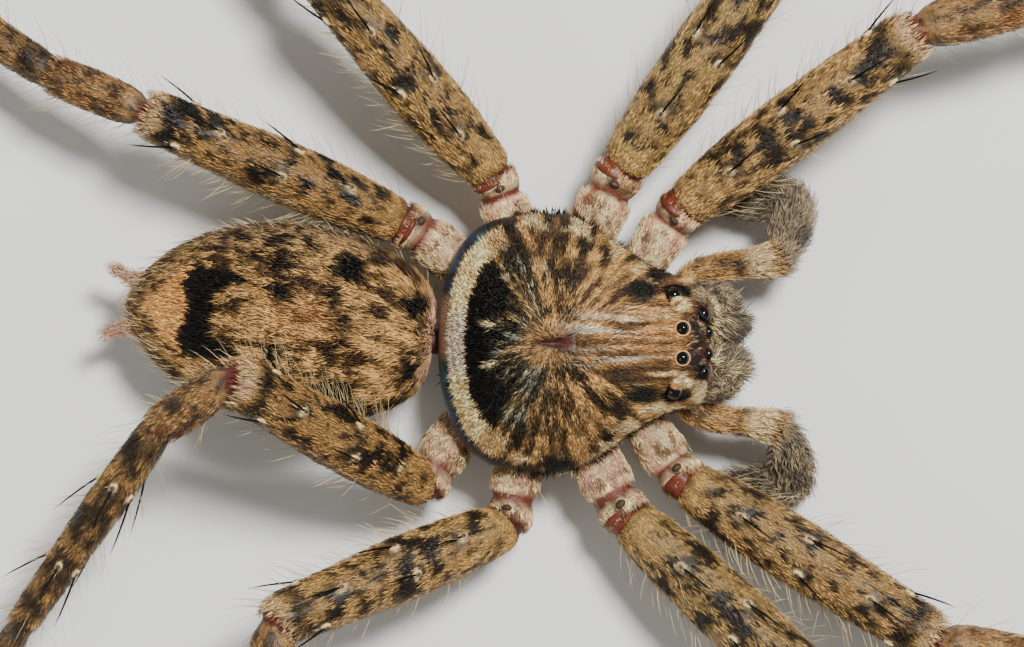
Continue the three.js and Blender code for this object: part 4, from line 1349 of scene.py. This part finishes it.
def build_leg(name):
    """One leg with its coat, bristles, spines and claws."""
    leg = leg_sheet(name)
    tints = leg_tints(leg, name, leg.points, leg.shares)
    keep = leg_bare(leg, name, leg.shares)
    # Painted shade under the hair; full colour where the skin is bare
    shade = np.where(keep < 0.2, 1.0, HAIR_SHADE_ON_SKIN)
    nodes = [f"leg_{name}_{piece}" for piece in ("coxa", "femur", "tibia", "tarsus")]
    skin_object(f"leg_{name}_skin", leg, tints * shade[..., None], SKIN, "leg", *nodes)

    def tint_of(found):
        return leg_tints(leg, name, found["point"], found["share"])

    segment = leg.row_value("segment", leg.shares)
    coat(f"leg_{name}_coat", leg, "leg", tint_of, keep * (segment > 0))
    coat(f"leg_{name}_fleece", leg, "fleece", tint_of, keep * (segment == 0))
    base = (segment == 1) * (leg.row_value("share", leg.shares) < 0.03)
    coat(f"leg_{name}_base", leg, "leg_base", tint_of, base)
    angle = (leg.shares[..., 0] * 360 + 180) % 360 - 180
    low = between(np.abs(angle), 75, 150, 12)
    rear = np.where(angle < 0, 1.6, 0.8)
    weight = low * rear * (segment >= 1) * (segment <= 4) + 0.02
    bristle_coat(f"leg_{name}_bristles", leg, "leg", weight)
    build_plates(leg, name)
    build_spines(leg, name)
    build_claws(leg, name)


PLATE_ANGLE = -38
PLATE = colour(98, 44, 28)


def build_plates(leg, name):
    """The red-brown plate behind the hip, and a dark pit on the short joint before it."""
    hip = leg_place(leg, name, "coxa", 0.985, PLATE_ANGLE)
    plate = pillow(leg, hip, 0.15, 0.42, 0.28, -0.3)
    skin_object(f"leg_{name}_plate", plate, PLATE, PLATE_HORN, "membrane")
    pit = leg_place(leg, name, "coxa", 0.87, 4)
    spot_patch = pillow(leg, pit, 0.035, 0.24, 0.2)
    skin_object(f"leg_{name}_pit", spot_patch, BROWN * 0.7, SKIN, "leg_root")


# Size of the pale socket under each spine
SOCKET = {"half_width": 0.2, "half_length": 0.27, "height": 0.2}
# The spines of the picture are longer than those of the solids by this factor
SPINE_STRETCH = 1.5
# Brightness of each ring of a socket, from its dark pore outward
CUP_SHADE = (0.06, 0.1, 0.85, 0.9, 0.55, 0.3)


def build_spines(leg, name):
    """Pale sockets, and a black spine from each."""
    places, lengths = zip(*leg_spines(leg, name))
    found = leg.pick(np.array(places))
    count = len(lengths)
    vertices, triangles, corners, shades, used = [], [], [], [], 0
    pale = blend(CREAM, GOLD, 0.35)
    for place_at in places:
        radius = leg.row_value("radius", place_at)
        half_turn = SOCKET["half_width"] / (2 * np.pi * radius)
        cup = pillow(leg, place_at, half_turn, SOCKET["half_length"], SOCKET["height"], 0.3)
        points = cup.vertices(cup.points)
        faces = cup.faces()
        vertices.append(points)
        triangles.append(faces + used)
        corners.append(np.zeros((len(faces), 3, 2)) + place_at * 0.98)
        shades.append(np.append(np.repeat(CUP_SHADE, PILLOW_AROUND), (0.3, 0.4)))
        used += len(points)
    vertices = np.concatenate(vertices)
    cups = new_object(f"leg_{name}_sockets", vertices, np.concatenate(triangles),
                      pale * np.concatenate(shades)[:, None], np.concatenate(corners))
    dress(cups, SKIN, "spine")
    way = turned_flow(found, 5)
    found["point"] = found["point"] + found["normal"] * 0.17
    lifts = np.full(count, 21.0) + rng.normal(0, 4, count)
    spikes(f"leg_{name}_spines", found, way, np.array(lengths) * SPINE_STRETCH, 0.055, lifts, 8,
           BLACK, SPINE, "spine", sides=6)


def build_claws(leg, name):
    """Two small dark claws at the toe."""
    found = leg.pick(np.array([[0.06, 0.997], [0.94, 0.997]]))
    found["point"] = found["point"] - found["normal"] * 0.05
    spikes(f"leg_{name}_claws", found, found["flow"], np.full(2, 0.42), 0.05, 10, 50, BLACK,
           HORN, "bristle", sides=6)


def jaw_tint(found):
    """Grey and cream hair, cream where it meets the face between the eyes."""
    p = found["point"]
    paint = Paint(blend(SLATE * 1.1, GREY, patches(p, 0.5, 41, -0.3, 0.4)))
    paint(CREAM, patches(p, 0.25, 42, 0.1, 0.4) * 0.75)
    paint(SLATE * 0.3, patches(p, 0.3, 43, -0.1, 0.3) * 0.8)
    near = 1 - smoothstep(p[..., 0], 6.46, 6.56)
    middle = 1 - smoothstep(np.abs(p[..., 1]), 1.2, 1.5)
    return paint(CREAM, near * middle * 0.9)


def build_jaw(s, side_name):
    """One shaggy jaw."""
    jaw = jaw_sheet(s)
    shaggy = blend(GREY, TAN, patches(jaw.points, 0.5, 41, -0.4, 0.4))
    # Painted shade: the skin under the jaw's hair is drawn very dark
    skin_object(f"chelicera_{side_name}_skin", jaw, shaggy * 0.2, SKIN, "jaw",
                f"chelicera_{side_name}")

    top = 1 + 7 * (1 - smoothstep(jaw.shares[..., 1], 0.05, 0.25))
    coat(f"chelicera_{side_name}_coat", jaw, "jaw", jaw_tint, top, combed((0.8, 0.1 * s, -0.6)))
    inner = (jaw.points[..., 1] * s < 1.5) * (jaw.points[..., 0] > 6.3)
    coat(f"chelicera_{side_name}_tufts", jaw, "jaw_tufts", jaw_tint, inner,
         fringed((1, -0.5 * s, -0.05)))
    front = smoothstep(jaw.points[..., 0], 6.2, 7.6) + 0.1
    bristle_coat(f"chelicera_{side_name}_bristles", jaw, "jaw", front)


def build_fang(s, side_name):
    """One fang, folded under its jaw."""
    steps = np.linspace(0, 1, 8)[:, None]
    bends = np.array([[7.0, 1.9, 1.35], [6.9, 1.25, 0.42], [6.2, 0.35, 0.95]])
    start, bend, end = bends * [1, s, 1]
    curve = start * (1 - steps) ** 2 + bend * 2 * steps * (1 - steps) + end * steps**2
    fang = line_sheet(np.column_stack([curve, 0.3 * (1 - steps) ** 0.7 + 0.03]))
    skin_object(f"fang_{side_name}_horn", fang, MAROON * 0.35, HORN, "fang",
                f"fang_{side_name}")


def palp_tints(p, shares):
    """Markings of a palp: brown and gold, with a cream cuff and a grey end."""
    share = shares[..., 1]
    paint = Paint(blend(TAN, BROWN, patches(p, 0.5, 44, 0.1, 0.6) * 0.8))
    paint(DARK, between(share, 0.27, 0.3, 0.008) * patches(p, 0.6, 48, -0.3, 0.1) * 0.8)
    paint(CREAM, between(share, 0.32, 0.41, 0.015) * 0.7)
    furry = blend(GREY, SLATE, patches(p, 0.4, 45, -0.2, 0.5))
    return paint(furry, smoothstep(share, 0.41, 0.46))


def build_palp(s, side_name):
    """One palp with its fur, the spines of its cuff and its tufted end."""
    palp = palp_sheet(s)
    nodes = [f"palp_{side_name}_femur", f"palp_{side_name}_tarsus"]
    # Skin drawn darker as painted shade under the hair
    skin_object(f"palp_{side_name}_skin", palp,
                palp_tints(palp.points, palp.shares) * HAIR_SHADE_ON_SKIN, SKIN, "leg", *nodes)

    def tint_of(found):
        return palp_tints(found["point"], found["share"])

    coat(f"palp_{side_name}_coat", palp, "palp", tint_of)
    cuff = palp.pick(np.array([[turn, 0.35] for turn in (-0.2, -0.12, -0.04, 0.04, 0.12, 0.2)]))
    count = len(cuff["point"])
    spikes(f"palp_{side_name}_spines", cuff, turned_flow(cuff, 12), rng.uniform(0.6, 0.9, count),
           0.035, 24, 8, DARK, SPINE, "spine", sides=5)
    tufty = (palp.shares[..., 1] > 0.42) * 1.0 + 0.05
    coat(f"palp_{side_name}_tufts", palp, "palp_tufts", tint_of, tufty)
    bristle_coat(f"palp_{side_name}_bristles", palp, "palp", tufty, GREY)


# Stations of a spinneret, as back, sideways, rise and radius
SPINNERET = (
    (-1.2, 1.0, -0.08, 0.34),
    (-0.3, 1.12, 0, 0.38),
    (0.2, 1.24, 0.05, 0.33),
    (0.3, 1.27, 0.06, 0.26),
    (0.75, 1.5, 0.15, 0.27),
    (0.98, 1.62, 0.22, 0.16),
    (1.0, 1.63, 0.22, 0.05),
)


def build_rear(s, side_name):
    """One spinneret, pinkish and finely furred."""
    rear = np.array([*ABDOMEN["front"], 3.75]) + ABDOMEN_ALONG * ABDOMEN["length"]
    line = []
    for back, sideways, rise, radius in SPINNERET:
        point = rear + ABDOMEN_ALONG * back + ABDOMEN_LEFT * s * sideways
        line.append((point[0], point[1], point[2] + rise, radius - 0.03))
    spinneret = line_sheet(line)
    skin_object(f"spinneret_{side_name}_skin", spinneret, PINK * 0.5, SKIN,
                "spinneret", f"spinneret_{side_name}")
    coat(f"spinneret_{side_name}_coat", spinneret, "spinneret", lambda found: PINK * 0.8)


EYES = {
    "front_middle": ((1, 0.25, 0.35), 0.16, BLACK),
    "front_outer": ((0.8, 0.6, 0.35), 0.16, BLACK),
    "rear_middle": ((0.15, 0.1, 1), 0.14, GOLD * 0.8),
    "rear_outer": ((-0.1, 0.85, 0.55), 0.2, BLACK),
}


def eye_place(kind, side_name):
    """Centre and radius of an eye, from its solid."""
    low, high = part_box(f"eye_{kind}_{side_name}")
    return np.array((low + high) / 2) / MM - BODY, (high.x - low.x) / MM / 2


def build_eye(kind, side_name, s):
    """A glossy black lens, in a raised ring but for the outer rear eyes."""
    gaze, ring, tint = EYES[kind]
    centre, radius = eye_place(kind, side_name)
    centre[2] += mounds(centre[0], centre[1])
    axis = unit(np.array([gaze[0], gaze[1] * s, gaze[2]]))
    angle = np.linspace(0.02, np.pi - 0.02, 24)[:, None]
    line = centre + axis * radius * np.cos(angle)
    sideways = unit(np.cross(axis, [0.3, 0.2, 0.9]))
    lens = tube_sheet(line, radius * np.sin(angle[:, 0]), 32, sideways=sideways)
    skin_object(f"eye_{kind}_{side_name}_lens", lens, BLACK * 0.4, LENS, "eye",
                f"eye_{kind}_{side_name}")
    if kind == "rear_outer":
        return
    thick = radius * ring
    turns = np.arange(32) / 32 * 2 * np.pi
    other = np.cross(axis, sideways)
    rings = []
    for step in np.arange(10) / 10 * 2 * np.pi:
        out = (radius + thick * 0.2 + thick * np.cos(step))
        flat = sideways * np.cos(turns)[:, None] + other * np.sin(turns)[:, None]
        rings.append(centre + axis * (radius * 0.15 + thick * np.sin(step)) + flat * out)
    points = np.array(rings + [rings[0]])
    hoop = Sheet(points, axis)
    skin_object(f"eye_{kind}_{side_name}_ring", hoop, tint, SKIN, "carapace")


# Angle from the lid's middle and distance from the eye's, out over the lid and back under it
LID = ((2, 1.22), (16, 1.22), (30, 1.2), (42, 1.16), (50, 1.06), (44, 0.9), (24, 0.8), (2, 0.8))


def build_lid(side_name, s):
    """The furry brow that covers the inner part of each outer rear eye."""
    centre, radius = eye_place("rear_outer", side_name)
    centre[2] += mounds(centre[0], centre[1])
    pole = unit(np.array([0.2, -0.78 * s, 0.6]))
    sideways = unit(np.cross(pole, [1.0, 0, 0]))
    other = np.cross(pole, sideways)
    turns = np.arange(32) / 32 * 2 * np.pi
    flat = sideways * np.cos(turns)[:, None] + other * np.sin(turns)[:, None]
    rings = []
    for degrees, scale in LID:
        angle = np.radians(degrees)
        rings.append(centre + radius * scale * (pole * np.cos(angle) + flat * np.sin(angle)))
    points = np.array(rings)
    lid = Sheet(points, [1.0, 0, 0])
    skin_object(f"brow_{side_name}_skin", lid, RUST * 0.3, SKIN, "carapace")
    outer = lid.shares[..., 1] < 0.42

    def tint_of(found):
        light = patches(found["point"], 0.15, 49, -0.3, 0.3)
        return blend(HEAD * 0.7, CREAM * 0.9, light)

    coat(f"brow_{side_name}_coat", lid, "brow", tint_of, outer, combed((1.0, 0.35 * s, 0)))


def build_waist():
    """The short stalk between the two halves of the body."""
    waist = line_sheet([(-4.4, 0, 3.9, 0.6), (-5.8, 0.05, 4.0, 0.62), (-7.2, 0.1, 4.1, 0.6)])
    skin_object("pedicel_skin", waist, MAROON * 0.6, SKIN, "membrane", "pedicel")


build_body()
build_abdomen()
build_waist()
for side_name, s in SIDES.items():
    build_jaw(s, side_name)
    build_fang(s, side_name)
    build_palp(s, side_name)
    build_rear(s, side_name)
    for kind in EYES:
        build_eye(kind, side_name, s)
    build_lid(side_name, s)
for name in LEGS:
    build_leg(name)

# Floor, light and camera
FLOOR_SIZE = 2.0
FLOOR_TINT = colour(222, 222, 218)


def build_floor():
    """A wide pale floor under the toes."""
    half = FLOOR_SIZE / 2 / MM
    corners = np.array([[-half, -half, 0], [half, -half, 0], [half, half, 0], [-half, half, 0]])
    triangles = np.array([[0, 1, 2], [0, 2, 3]])
    uv = (corners[:, :2] / half + 1)[triangles] / 2
    floor = new_object("floor", corners, triangles, np.zeros((4, 3)) + FLOOR_TINT, uv)
    floor.data.materials.append(FLOOR)


def area_light(name, where, size, power):
    """A soft square light aimed at the spider."""
    data = bpy.data.lights.new(name, "AREA")
    data.size = size
    data.energy = power
    obj = bpy.data.objects.new(name, data)
    obj.location = where
    obj.rotation_euler = (-Vector(where)).to_track_quat("-Z", "Y").to_euler()
    bpy.context.scene.collection.objects.link(obj)


def build_world(strength):
    """An even pale studio around everything."""
    world = bpy.data.worlds.new("studio")
    bpy.context.scene.world = world
    world.use_nodes = True
    background = world.node_tree.nodes["Background"]
    background.inputs["Color"].default_value = (1.0, 0.98, 0.95, 1)
    background.inputs["Strength"].default_value = strength


def build_camera():
    """A camera straight above, framed as the photo is."""
    data = bpy.data.cameras.new("camera")
    data.sensor_width = SENSOR
    data.lens = SENSOR * CAMERA_RISE / FRAME_WIDTH
    data.clip_start = 0.005
    data.clip_end = 10
    camera = bpy.data.objects.new("camera", data)
    camera.location = place([*IMAGE_CENTRE, VIEW_PLANE_Z + CAMERA_RISE])
    bpy.context.scene.collection.objects.link(camera)
    bpy.context.scene.camera = camera


build_floor()
area_light("key", (0.12, 0.15, 0.42), 0.09, 3.9)
area_light("fill", (-0.3, -0.2, 0.3), 0.3, 0.5)
build_world(0.29)
build_camera()
